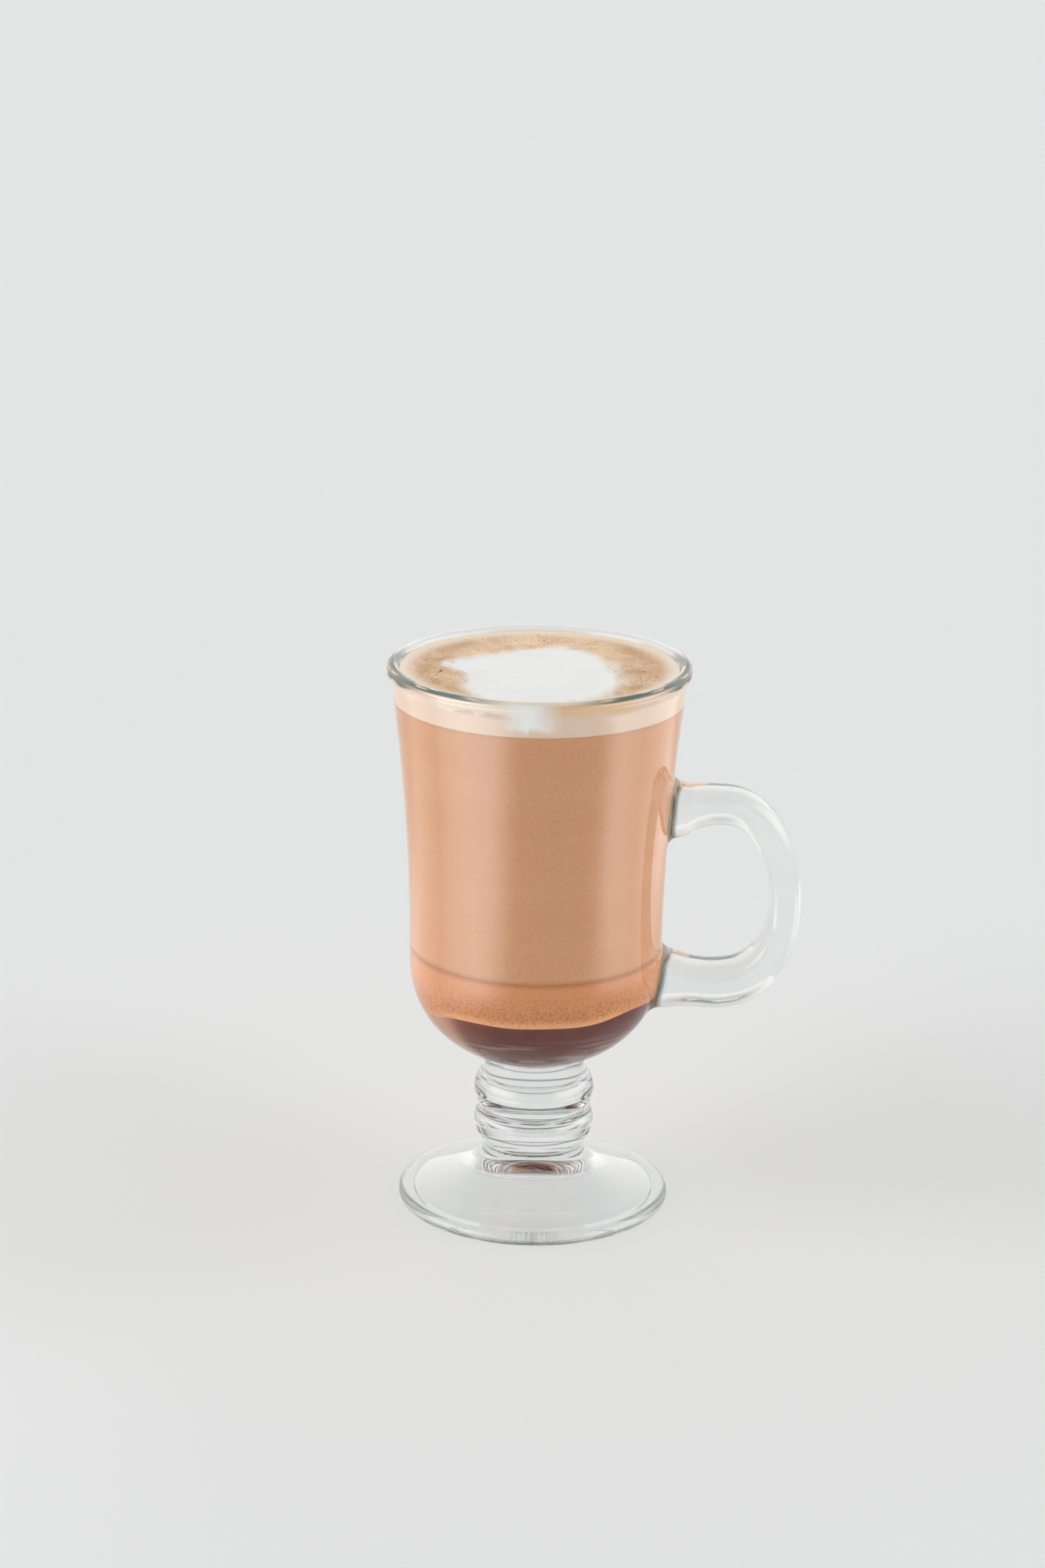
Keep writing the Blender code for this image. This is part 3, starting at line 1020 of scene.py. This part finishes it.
@dataclass(frozen=True)
class Handle:
    """The D-shaped handle, lofted through stations from its upper pad to its lower one.

    Each station is x, z, half thickness and half depth.
    """

    stations: tuple[tuple[float, ...], ...] = (
        mm(31.8, 104.9, 7.9, 7.4), mm(35.4, 105.0, 6.9, 6.9), mm(39.2, 105.5, 5.3, 6.3),
        mm(44.6, 106.1, 4.6, 6.1), mm(50.4, 105.4, 4.5, 6.1), mm(55.6, 102.0, 4.35, 6.1),
        mm(59.6, 96.0, 4.2, 6.1), mm(61.9, 88.2, 4.1, 6.1), mm(62.5, 80.0, 4.1, 6.2),
        mm(61.6, 72.2, 4.4, 6.4), mm(58.3, 65.0, 4.9, 6.7), mm(52.8, 60.3, 5.4, 7.0),
        mm(46.2, 58.7, 5.6, 7.2), mm(39.8, 59.0, 5.6, 7.3), mm(34.2, 59.7, 6.7, 7.5),
        mm(28.7, 60.4, 8.1, 7.6),
    )
    lower_tilt: float = math.radians(10.6)
    squareness: float = 3.3
    steps: int = 8
    segments: int = 56

    def section(self, shape: Shape, station: Sequence[float], heading: float) -> list[bmesh.types.BMEdge]:
        """Adds a rounded rectangle across the handle's path.

        Args:
            shape: the handle's shape so far.
            station: x, z, half thickness and half depth.
            heading: the path's direction there.

        Returns:
            The section's edges.
        """
        x, z, half_thickness, half_depth = station
        made = bmesh.ops.create_circle(shape, segments=self.segments, radius=1.0, cap_ends=False)
        power = 2.0 / self.squareness
        for vert in made["verts"]:
            across = math.copysign(abs(vert.co.x) ** power, vert.co.x) * half_thickness
            deep = math.copysign(abs(vert.co.y) ** power, vert.co.y) * half_depth
            vert.co = (x - across * math.sin(heading), deep, z + across * math.cos(heading))
        return list({edge for vert in made["verts"] for edge in vert.link_edges})

    def build(self) -> bpy.types.Object:
        """Lofts the handle, closed at both ends, which lie inside the bowl's wall.

        Returns:
            The handle, not yet joined to the mug.
        """
        path = spline(self.stations, self.steps, closed=False)
        shape = bmesh.new()
        rings = []
        for i, station in enumerate(path):
            back, ahead = path[max(i - 1, 0)], path[min(i + 1, len(path) - 1)]
            heading = math.atan2(ahead[1] - back[1], ahead[0] - back[0])
            if i == 0:
                heading = 0.0
            if i == len(path) - 1:
                heading = math.pi - self.lower_tilt
            rings.append(self.section(shape, station, heading))
        for near, far in zip(rings, rings[1:]):
            bmesh.ops.bridge_loops(shape, edges=[*near, *far])
        for end in (rings[0], rings[-1]):
            bmesh.ops.holes_fill(shape, edges=end, sides=self.segments)
        bmesh.ops.recalc_face_normals(shape, faces=shape.faces)
        return to_object("handle", shape)


@dataclass(frozen=True)
class GlassMug(Piece):
    """The mug: bowl, beaded rim, ringed stem and foot turned as one, with the handle fused on.

    The handle's seams lie within seam_x and seam_z. Each melting round smooths the points within a
    reach of them in some passes. Rings are those of the bowl's bottom and side.
    """

    name: str = "pressed_glass_mug"
    slot: Slot = Slot.GLASS
    finish: Finish = SodaLimeGlass()
    node: str = "glass_mug"
    height: float = 142.3 * MM
    rim_radius: float = 38.0 * MM
    rim_bead: float = 1.7 * MM
    foot_radius: float = 34.5 * MM
    foot_edge: float = 1.7 * MM
    # A hair less than the edge, so that a flat stays between the foot's two fillets.
    foot_fillet: float = 0.98 * foot_edge
    foot_crease_radius: float = 30.5 * MM
    foot_crease_fillet: float = 0.8 * MM
    recess_radius: float = 30.6 * MM
    recess_depth: float = 0.6 * MM
    recess_fillet: float = 0.2 * MM
    recess_profile: tuple[Point, ...] = (
        mm(30.0, 0.6), mm(25.0, 1.8), mm(20.0, 3.2), mm(15.0, 5.0),
        mm(10.0, 7.4), mm(5.0, 10.0), mm(2.0, 11.1), mm(0.0, 11.3),
    )
    recess_steps: int = 6
    stem_radius: float = 12.8 * MM
    stem_foot_z: float = 10.2 * MM
    stem_fillet: float = 6.0 * MM
    junction_fillet: float = 0.5 * MM
    upper_ring: StemRing = StemRing(*mm(34.4, 29.5, 26.8, 25.3))
    lower_ring: StemRing = StemRing(*mm(24.9, 21.6, 18.1, 16.2))
    handle: Handle = Handle()
    inner_rings: tuple[int, int] = (32, 40)
    outer_rings: tuple[int, int] = (36, 62)
    bead_turn: Point = (180.0, -60.0)
    bead_steps: int = 28
    segments: int = 240
    seam_x: Point = mm(24.0, 36.0)
    seam_z: Point = mm(46.0, 122.6)
    seam_angle: float = math.radians(18)
    collar_width: float = 2.3 * MM
    collar_overlap: float = 1.3 * MM
    merge_reach: float = 0.4 * MM
    merge_gap: float = 0.12 * MM
    melt_rounds: tuple[tuple[float, int], ...] = ((3.6 * MM, 8), (2.6 * MM, 12), (1.5 * MM, 12))

    def outline(self) -> list[Point]:
        """Half section, from the inner floor over the rim to the foot's underside.

        Returns:
            Radius and height of each point.
        """
        low, high = BOWL.shoulder_z, BOWL.lip_z
        inside = BOWL.bottom_heights(BOWL.inner_floor_z, self.inner_rings[0])[::-1]
        inside += between(low, high, self.inner_rings[1])[1:]
        outside = between(high, low, self.outer_rings[1])[:-1]
        outside += BOWL.bottom_heights(low - BOWL.depth, self.outer_rings[0])
        outside = [(BOWL.outer_radius(z), z) for z in outside]
        while outside[-1][0] <= self.stem_radius + self.junction_fillet:
            outside.pop()
        centre = (self.rim_radius - self.rim_bead, self.height - self.rim_bead)
        share = 1.0 - (self.stem_radius / BOWL.shoulder_radius) ** 2
        junction_z = BOWL.shoulder_z - BOWL.depth * share ** (1.0 / BOWL.squareness)
        foot_top = 2.0 * self.foot_edge
        lower = [
            (*outside[-1], 0.0),
            (self.stem_radius, junction_z, self.junction_fillet),
            *self.upper_ring.corners(),
            *self.lower_ring.corners(),
            (self.stem_radius, self.stem_foot_z, self.stem_fillet),
            (self.foot_crease_radius, foot_top, self.foot_crease_fillet),
            (self.foot_radius, foot_top, self.foot_fillet),
            (self.foot_radius, 0.0, self.foot_fillet),
            (self.recess_radius, 0.0, self.recess_fillet),
            (self.recess_radius - self.recess_depth, self.recess_depth, self.recess_fillet),
            *((r, z, 0.0) for r, z in spline(self.recess_profile, self.recess_steps, closed=False)[1:]),
        ]
        bead = arc(centre, self.rim_bead, *self.bead_turn, self.bead_steps)
        return [*((BOWL.inner_radius(z), z) for z in inside), *bead, *outside[:-1], *rounded(lower)]

    def melt_seams(self, mesh: bpy.types.Mesh) -> None:
        """Melts the handle's two joints into the bowl with small fillets.

        Args:
            mesh: the joined mug, changed in place.
        """
        shape = bmesh.new()
        shape.from_mesh(mesh)
        # The joint weight lays the painted teal refraction and the frosting on the collars.
        joint = shape.verts.layers.float.new("joint")
        seam = {
            vert
            for edge in shape.edges
            if len(edge.link_faces) == 2
            and edge.verts[0].co.x > self.seam_x[0]
            and self.seam_z[0] < edge.verts[0].co.z < self.seam_z[1]
            and edge.calc_face_angle() > self.seam_angle
            for vert in edge.verts
            if vert.co.x < self.seam_x[1]
        }
        tree = kdtree.KDTree(len(seam))
        for i, vert in enumerate(seam):
            tree.insert(vert.co, i)
        tree.balance()
        distance = {vert: tree.find(vert.co)[2] for vert in shape.verts}
        for vert, away in distance.items():
            beyond = math.hypot(vert.co.x, vert.co.y) - BOWL.outer_radius(vert.co.z)
            width = self.collar_width if beyond > WALL_GUARD else self.collar_overlap
            if away < width:
                vert[joint] = 1.0 - (away / width) ** 4
        close = [vert for vert, away in distance.items() if away < self.merge_reach]
        bmesh.ops.remove_doubles(shape, verts=close, dist=self.merge_gap)
        bmesh.ops.triangulate(shape, faces=[face for face in shape.faces if len(face.verts) > 4])
        every_way = {f"use_axis_{axis}": True for axis in "xyz"}
        for reach, passes in self.melt_rounds:
            zone = [vert for vert in shape.verts if tree.find(vert.co)[2] < reach]
            for _ in range(passes):
                bmesh.ops.smooth_vert(shape, verts=zone, factor=0.5, **every_way)
        bmesh.ops.recalc_face_normals(shape, faces=shape.faces)
        shape.to_mesh(mesh)
        shape.free()

    def build(self) -> bpy.types.Object:
        """Turns the body, fuses the handle on and melts the seams.

        Returns:
            The piece's object.
        """
        made = to_object(self.name, turned(self.outline(), self.segments))
        handle = self.handle.build()
        union = made.modifiers.new("handle", "BOOLEAN")
        union.operation = "UNION"
        union.solver = "EXACT"
        union.object = handle
        graph = bpy.context.evaluated_depsgraph_get()
        mesh = bpy.data.meshes.new_from_object(made.evaluated_get(graph))
        made.modifiers.clear()
        made.data = mesh
        bpy.data.objects.remove(handle)
        self.melt_seams(mesh)
        mesh.shade_smooth()
        return made


def fit_to_syrup_top(shape: Shape, fixed: float) -> None:
    """Fits a layer to the syrup's uneven top, sliding its side along the bowl's wall.

    Args:
        shape: the layer, with a level face where the syrup's top is; changed in place.
        fixed: height of the layer's other end, which stays.
    """
    level = DRINK.syrup_level
    rim = DRINK.side_radius(level)
    for vert in shape.verts:
        radius = math.hypot(vert.co.x, vert.co.y)
        if radius < WELD:
            if abs(vert.co.z - level) < WELD:
                vert.co.z = SYRUP_TOP.height(0.0, 0.0)
            continue
        across, along = vert.co.x / radius, vert.co.y / radius
        edge_z = SYRUP_TOP.height(across * rim, along * rim)
        if abs(vert.co.z - level) < WELD:
            radius *= DRINK.side_radius(edge_z) / rim
            height = SYRUP_TOP.height(across * radius, along * radius)
            share = radius / rim
            height += (edge_z - SYRUP_TOP.height(across * rim * share, along * rim * share)) * share**8
        elif radius > DRINK.side_radius(vert.co.z) - WALL_GUARD:
            height = fixed + (vert.co.z - fixed) * (edge_z - fixed) / (level - fixed)
            radius = DRINK.side_radius(height)
        else:
            continue
        vert.co = (across * radius, along * radius, height)


@dataclass(frozen=True)
class SyrupPiece(Piece):
    """The chocolate syrup in the bowl's bottom."""

    name: str = "chocolate_syrup_pool"
    slot: Slot = Slot.SYRUP
    finish: Finish = ChocolateSyrup()
    node: str = "chocolate_syrup"
    top_rings: int = 40
    side_rings: int = 36

    def build(self) -> bpy.types.Object:
        """Turns the pool, then gives its top the waves.

        Returns:
            The piece's object.
        """
        level = DRINK.syrup_level
        top = [(r, level) for r in between(0.0, DRINK.side_radius(level), self.top_rings)]
        lowest = BOWL.inner_floor_z - DRINK.reach
        turns = between(0.0, math.pi / 2, self.side_rings)[1:]
        heights = [lowest + (level - lowest) * math.cos(a) ** 2 for a in turns]
        shape = turned([*top, *((DRINK.side_radius(z), z) for z in heights)], DRINK.segments)
        fit_to_syrup_top(shape, lowest)
        return to_object(self.name, shape)


@dataclass(frozen=True)
class LowerLayerPiece(Piece):
    """The dense, grainy layer between the syrup and the mocha."""

    name: str = "grainy_lower_layer"
    slot: Slot = Slot.LOWER
    finish: Finish = GrainyMocha()
    node: str = "mocha_base"
    side_rings: int = 26
    under_rings: int = 40

    def build(self) -> bpy.types.Object:
        """Turns the layer, fits its underside to the syrup and notes each point's height over it.

        Returns:
            The piece's object.
        """
        rim = DRINK.side_radius(DRINK.syrup_level)
        side = DRINK.side(DRINK.syrup_level, DRINK.base_level, self.side_rings)
        under = [(r, DRINK.syrup_level) for r in between(rim, 0.0, self.under_rings)[1:]]
        shape = turned([(0.0, DRINK.base_level), *side, *under], DRINK.segments)
        fit_to_syrup_top(shape, DRINK.base_level)
        layer = shape.verts.layers.float.new("above_syrup")
        for vert in shape.verts:
            vert[layer] = vert.co.z - SYRUP_TOP.height(vert.co.x, vert.co.y)
        return to_object(self.name, shape)


@dataclass(frozen=True)
class MochaPiece(Piece):
    """The mocha itself, most of the drink."""

    name: str = "mocha_body"
    slot: Slot = Slot.MOCHA
    finish: Finish = MilkyCoffee()
    node: str = "mocha"
    side_rings: int = 44

    def build(self) -> bpy.types.Object:
        """Turns the layer.

        Returns:
            The piece's object.
        """
        side = DRINK.side(DRINK.base_level, DRINK.mocha_level, self.side_rings)
        outline = [(0.0, DRINK.mocha_level), *side, (0.0, DRINK.base_level)]
        return to_object(self.name, turned(outline, DRINK.segments))


@dataclass(frozen=True)
class FoamPiece(Piece):
    """The foam: a cream band at the glass, topped with crema."""

    name: str = "crema_foam"
    slot: Slot = Slot.FOAM
    finish: Finish = CremaFoam()
    node: str = "foam"
    top_rings: int = 90
    side_rings: int = 28
    segments: int = 240

    def build(self) -> bpy.types.Object:
        """Turns the foam and gives its top its fine relief.

        Returns:
            The piece's object.
        """
        level = DRINK.foam_edge_level
        top = [(r, level) for r in between(0.0, DRINK.side_radius(level), self.top_rings)]
        side = DRINK.side(DRINK.mocha_level, level, self.side_rings)[1:]
        shape = turned([*top, *side, (0.0, DRINK.mocha_level)], self.segments)
        for vert in shape.verts:
            if vert.co.z > level - LEVEL_GUARD:
                vert.co.z = FOAM_TOP.height(vert.co.x, vert.co.y)
        return to_object(self.name, shape)


@dataclass(frozen=True)
class MilkPatchPiece(Piece):
    """The patch of white milk foam that lies in the crema.

    The outline is x and y, anticlockwise from the patch's left tip.
    """

    name: str = "milk_foam_island"
    slot: Slot = Slot.MILK
    finish: Finish = MilkFoam()
    node: str = "milk_foam_patch"
    outline: tuple[Point, ...] = (
        mm(-23.6, 3.0), mm(-21.6, -2.4), mm(-18.2, -8.6), mm(-18.6, -14.0), mm(-17.4, -21.5),
        mm(-15.2, -27.4), mm(-7.5, -31.4), mm(2.5, -32.0), mm(10.5, -29.6), mm(16.4, -23.6),
        mm(20.2, -14.6), mm(19.2, -4.6), mm(16.6, 6.0), mm(12.2, 14.2), mm(5.6, 18.2),
        mm(-3.0, 16.2), mm(-12.4, 11.6),
    )
    outline_steps: int = 12
    centre: Point = mm(-1.0, -7.0)
    margin: float = 4.6 * MM
    lift: float = 0.03 * MM
    depth: float = 2.4 * MM
    skirt_share: float = 0.94
    rings: int = 60
    segments: int = 240

    def reach(self) -> list[float]:
        """Distance from the centre to the outline in each of the piece's directions.

        Returns:
            The distances, anticlockwise from +X.
        """
        loop = spline(self.outline, self.outline_steps, closed=True)
        polar = sorted(
            (math.atan2(y - self.centre[1], x - self.centre[0]), math.dist((x, y), self.centre))
            for x, y in loop
        )
        polar = [(polar[-1][0] - math.tau, polar[-1][1]), *polar, (polar[0][0] + math.tau, polar[0][1])]
        found = []
        for i in range(self.segments):
            angle = math.remainder(math.tau * i / self.segments, math.tau)
            after = next(k for k in range(1, len(polar)) if polar[k][0] >= angle)
            (a0, r0), (a1, r1) = polar[after - 1], polar[after]
            found.append(r0 + (r1 - r0) * (angle - a0) / (a1 - a0))
        return found

    def build(self) -> bpy.types.Object:
        """Warps a turned disc to the outline, lays it on the foam and notes how far in each point is.

        Returns:
            The piece's object.
        """
        reach = self.reach()
        top = DRINK.foam_edge_level
        outline = [(share, top) for share in between(0.0, 1.0, self.rings)]
        shape = turned([*outline, (1.0, top - self.depth), (0.0, top - self.depth)], self.segments)
        layer = shape.verts.layers.float.new("inside")
        wall = DRINK.side_radius(top) - self.lift
        for vert in shape.verts:
            share = math.hypot(vert.co.x, vert.co.y)
            turn = math.atan2(vert.co.y, vert.co.x) % math.tau
            edge = reach[round(turn / math.tau * self.segments) % self.segments]
            away = share * (edge + self.margin)
            x = self.centre[0] + away * math.cos(turn)
            y = self.centre[1] + away * math.sin(turn)
            radius = math.hypot(x, y)
            if radius > wall:
                x, y = x * wall / radius, y * wall / radius
            vert[layer] = edge - away
            upper = vert.co.z > top - LEVEL_GUARD
            if not upper:
                x, y = x * self.skirt_share, y * self.skirt_share
            vert.co = (x, y, FOAM_TOP.height(x, y) + self.lift if upper else top - self.depth)
        return to_object(self.name, shape)


@dataclass(frozen=True)
class BubbleCluster:
    """A patch of the crema where bubbles lie: centre, half sizes, how many and the largest."""

    x: float
    y: float
    half_x: float
    half_y: float
    count: int
    largest: float


@dataclass(frozen=True)
class BubblesPiece(Piece):
    """Open bubbles in the crema, as tiny sunken beads joined into one mesh."""

    name: str = "crema_bubbles"
    slot: Slot = Slot.FOAM
    finish: Finish = BUBBLE_FILM
    seed: int = 7
    smallest: float = 0.10 * MM
    flatness: float = 0.5
    sunk: float = 0.35
    proud_share: float = 0.3
    wall_gap: float = 1.5 * MM
    clusters: tuple[BubbleCluster, ...] = (
        BubbleCluster(*mm(-24.6, -7.0, 1.6, 3.4), 6, 0.55 * MM),
        BubbleCluster(*mm(-25.0, -6.0, 5.0, 14.0), 60, 0.22 * MM),
        BubbleCluster(*mm(24.5, -6.0, 5.0, 15.0), 60, 0.20 * MM),
        BubbleCluster(*mm(2.0, 26.0, 22.0, 4.0), 40, 0.24 * MM),
        BubbleCluster(*mm(-2.0, 24.5, 14.0, 2.0), 3, 0.40 * MM),
    )

    def build(self) -> bpy.types.Object:
        """Scatters the beads by a seeded draw.

        Returns:
            The piece's object.
        """
        draw = random.Random(self.seed)
        shape = bmesh.new()
        furthest = DRINK.side_radius(DRINK.foam_edge_level) - self.wall_gap
        for cluster in self.clusters:
            for _ in range(cluster.count):
                x = draw.gauss(cluster.x, cluster.half_x / 2)
                y = draw.gauss(cluster.y, cluster.half_y / 2)
                size = self.smallest + (cluster.largest - self.smallest) * draw.random() ** 3
                if math.hypot(x, y) > furthest:
                    continue
                top = FOAM_TOP.height(x, y) + size * (1.0 - 2.0 * self.sunk) * self.proud_share
                flat = Matrix.Diagonal((1.0, 1.0, self.flatness, 1.0))
                spot = Matrix.Translation((x, y, top)) @ flat
                bmesh.ops.create_icosphere(shape, subdivisions=1, radius=size, matrix=spot)
        return to_object(self.name, shape)


# ---------------------------------------------------------------- studio


@dataclass(frozen=True)
class GlowCard:
    """A lit card lying on the floor that only shows as a soft reflection in the glass's walls.

    Its strength is a ramp over y.
    """

    name: str
    across: Point
    along: Point
    fade: float
    strength: Ramp
    lift: float = 1.0 * MM

    def material(self) -> bpy.types.Material:
        """Builds the card's light: strongest near the camera, and soft at its edges.

        Returns:
            The material.
        """
        made = bpy.data.materials.new(self.name)
        tree = cleared(made)
        place = add_node(tree, "TexCoord").outputs["Object"]
        axes = add_node(tree, "SeparateXYZ", [place]).outputs
        level = add_node(tree, "MapRange", [axes["Y"], *self.strength])
        zone = ((*self.across, self.fade), (*self.along, self.fade))
        faded = inside_zones(tree, (axes["X"], axes["Y"]), [zone])
        strength = add_node(tree, "Math", [faded, level], operation="MULTIPLY")
        glow = add_node(tree, "Emission", {"Strength": strength})
        both = add_node(tree, "AddShader", [glow, add_node(tree, "BsdfTransparent")])
        add_node(tree, "OutputMaterial", {"Surface": both})
        return made

    def build(self) -> None:
        """Lays the card on the floor and hides it from everything but reflections."""
        card = level_sheet(self.name, self.across, self.along, self.lift)
        card.data.materials.append(self.material())
        card.visible_camera = False
        card.visible_diffuse = False
        card.visible_transmission = False
        card.visible_shadow = False


@dataclass(frozen=True)
class StudioWindow:
    """A large soft window in the studio's surroundings: its angles, and how bright it is."""

    heading: float
    half_width: float
    low: float
    high: float
    strength: float
    fade: float = math.radians(14)

    def light(self, tree: Tree, heading: Node, height: Socket) -> Node:
        """Adds the window to the surroundings.

        Args:
            tree: the world's node tree.
            heading: angle about Z, 0 towards the camera and growing towards +X.
            height: sine of the angle above the horizon.

        Returns:
            The window's light in each direction.
        """
        away = add_node(tree, "Math", [heading, self.heading], operation="SUBTRACT")
        away = add_node(tree, "Math", [away], operation="ABSOLUTE")
        sides = [away, self.half_width + self.fade, self.half_width, 0.0, self.strength]
        light = add_node(tree, "MapRange", sides, interpolation_type="SMOOTHSTEP")
        for angle, inwards in ((self.low, self.fade / 2), (self.high, -self.fade / 2)):
            ends = [height, math.sin(angle - inwards), math.sin(angle + inwards)]
            share = add_node(tree, "MapRange", ends, interpolation_type="SMOOTHSTEP")
            light = add_node(tree, "Math", [light, share], operation="MULTIPLY")
        return light


@dataclass(frozen=True)
class Studio:
    """Plain pale floor, pale surroundings with two soft windows, and the camera."""

    floor_reach: float = 8.0
    floor_drop: float = 0.1 * MM
    sky_strength: float = 1.36
    through_ramp: Ramp = (0.05, 0.5, 0.95, 0.6)
    pale_colour: str = "FFFEFB"
    dark_colour: str = "566062"
    dark_side: Point = (math.radians(22), math.radians(62))
    zenith_ramp: Ramp = (0.35, 0.9, 1.0, 0.12)
    windows: tuple[StudioWindow, ...] = (
        StudioWindow(*map(math.radians, (-66, 24, 8, 50)), 3.1),
        StudioWindow(*map(math.radians, (84, 32, 8, 48)), 2.0),
    )
    cards: tuple[GlowCard, ...] = (
        GlowCard("low_card_left", (-0.42, -0.055), (-0.42, 0.24), 0.12, (-0.13, 0.0, 3.3, 0.7)),
        GlowCard("low_card_right", (0.125, 0.42), (-0.19, 0.30), 0.10, (-0.13, 0.0, 2.9, 1.0)),
    )
    camera_place: Triple = (-0.003889, -0.919243, 0.395442)
    camera_dip: float = math.radians(17.214)
    camera_roll: float = math.radians(0.716)
    camera_lens: float = 88.37
    camera_sensor: float = 36.0
    camera_clip: Point = (0.05, 50.0)

    def build_floor(self) -> None:
        """Adds the floor, a hair below the foot so that no faces coincide."""
        span = (-self.floor_reach, self.floor_reach)
        floor = level_sheet("studio_floor", span, span, -self.floor_drop)
        floor.data.materials.append(MATTE_BOARD.material())

    def build_world(self) -> None:
        """Adds the surroundings: pale, dim overhead and behind the camera, bright at both sides."""
        world = bpy.data.worlds.new("white_studio")
        tree = cleared(world)
        direction = add_node(tree, "TexCoord").outputs["Generated"]
        axes = add_node(tree, "SeparateXYZ", [direction]).outputs
        ahead = add_node(tree, "Math", [axes["Y"], -1.0], operation="MULTIPLY")
        heading = add_node(tree, "Math", [axes["X"], ahead], operation="ARCTAN2")
        away = add_node(tree, "Math", [heading], operation="ABSOLUTE")
        beside = add_node(tree, "MapRange", [away, *self.dark_side], interpolation_type="SMOOTHSTEP")
        zenith = [axes["Z"], *self.zenith_ramp]
        overhead = add_node(tree, "MapRange", zenith, interpolation_type="SMOOTHSTEP")
        pale = add_node(tree, "Math", [beside, overhead], operation="MULTIPLY")
        colour = layered(tree, self.dark_colour, [(pale, self.pale_colour)])
        strength = self.sky_strength
        for window in self.windows:
            strength = add_node(tree, "Math", [strength, window.light(tree, heading, axes["Z"])])
        passed = add_node(tree, "LightPath").outputs["Is Transmission Ray"]
        through = add_node(tree, "MapRange", [axes["Z"], *self.through_ramp])
        seen = add_node(tree, "Mix", {0: passed, 2: strength, 3: through}, data_type="FLOAT")
        back = add_node(tree, "Background", {"Color": colour, "Strength": seen})
        add_node(tree, "OutputWorld", {"Surface": back})
        bpy.context.scene.world = world

    def build_camera(self) -> None:
        """Adds the camera, a little above the mug and rolled a little."""
        lens = bpy.data.cameras.new("camera")
        lens.lens = self.camera_lens
        lens.sensor_width = self.camera_sensor
        lens.sensor_fit = "AUTO"
        lens.clip_start, lens.clip_end = self.camera_clip
        made = bpy.data.objects.new("camera", lens)
        tilt = Matrix.Rotation(math.pi / 2 - self.camera_dip, 4, "X")
        turn = tilt @ Matrix.Rotation(self.camera_roll, 4, "Z")
        made.matrix_world = Matrix.Translation(self.camera_place) @ turn
        bpy.context.scene.collection.objects.link(made)
        bpy.context.scene.camera = made

    def build(self) -> None:
        """Builds the whole studio and sets how light is traced and shown."""
        self.build_floor()
        self.build_world()
        for card in self.cards:
            card.build()
        self.build_camera()
        scene = bpy.context.scene
        scene.view_settings.view_transform = "Standard"
        scene.view_settings.look = "None"
        scene.cycles.max_bounces = 24
        scene.cycles.transmission_bounces = 24
        scene.cycles.glossy_bounces = 12
        scene.cycles.diffuse_bounces = 4
        scene.cycles.transparent_max_bounces = 24
        scene.cycles.caustics_reflective = False
        scene.cycles.caustics_refractive = False


def main() -> None:
    """Builds the pieces in order, then the studio."""
    logging.basicConfig(level=logging.INFO, format="%(message)s")
    pieces: tuple[Piece, ...] = (
        GlassMug(),
        SyrupPiece(),
        LowerLayerPiece(),
        MochaPiece(),
        FoamPiece(),
        MilkPatchPiece(),
        BubblesPiece(),
    )
    for piece in pieces:
        piece.place()
    Studio().build()


if __name__ == "__main__":
    main()
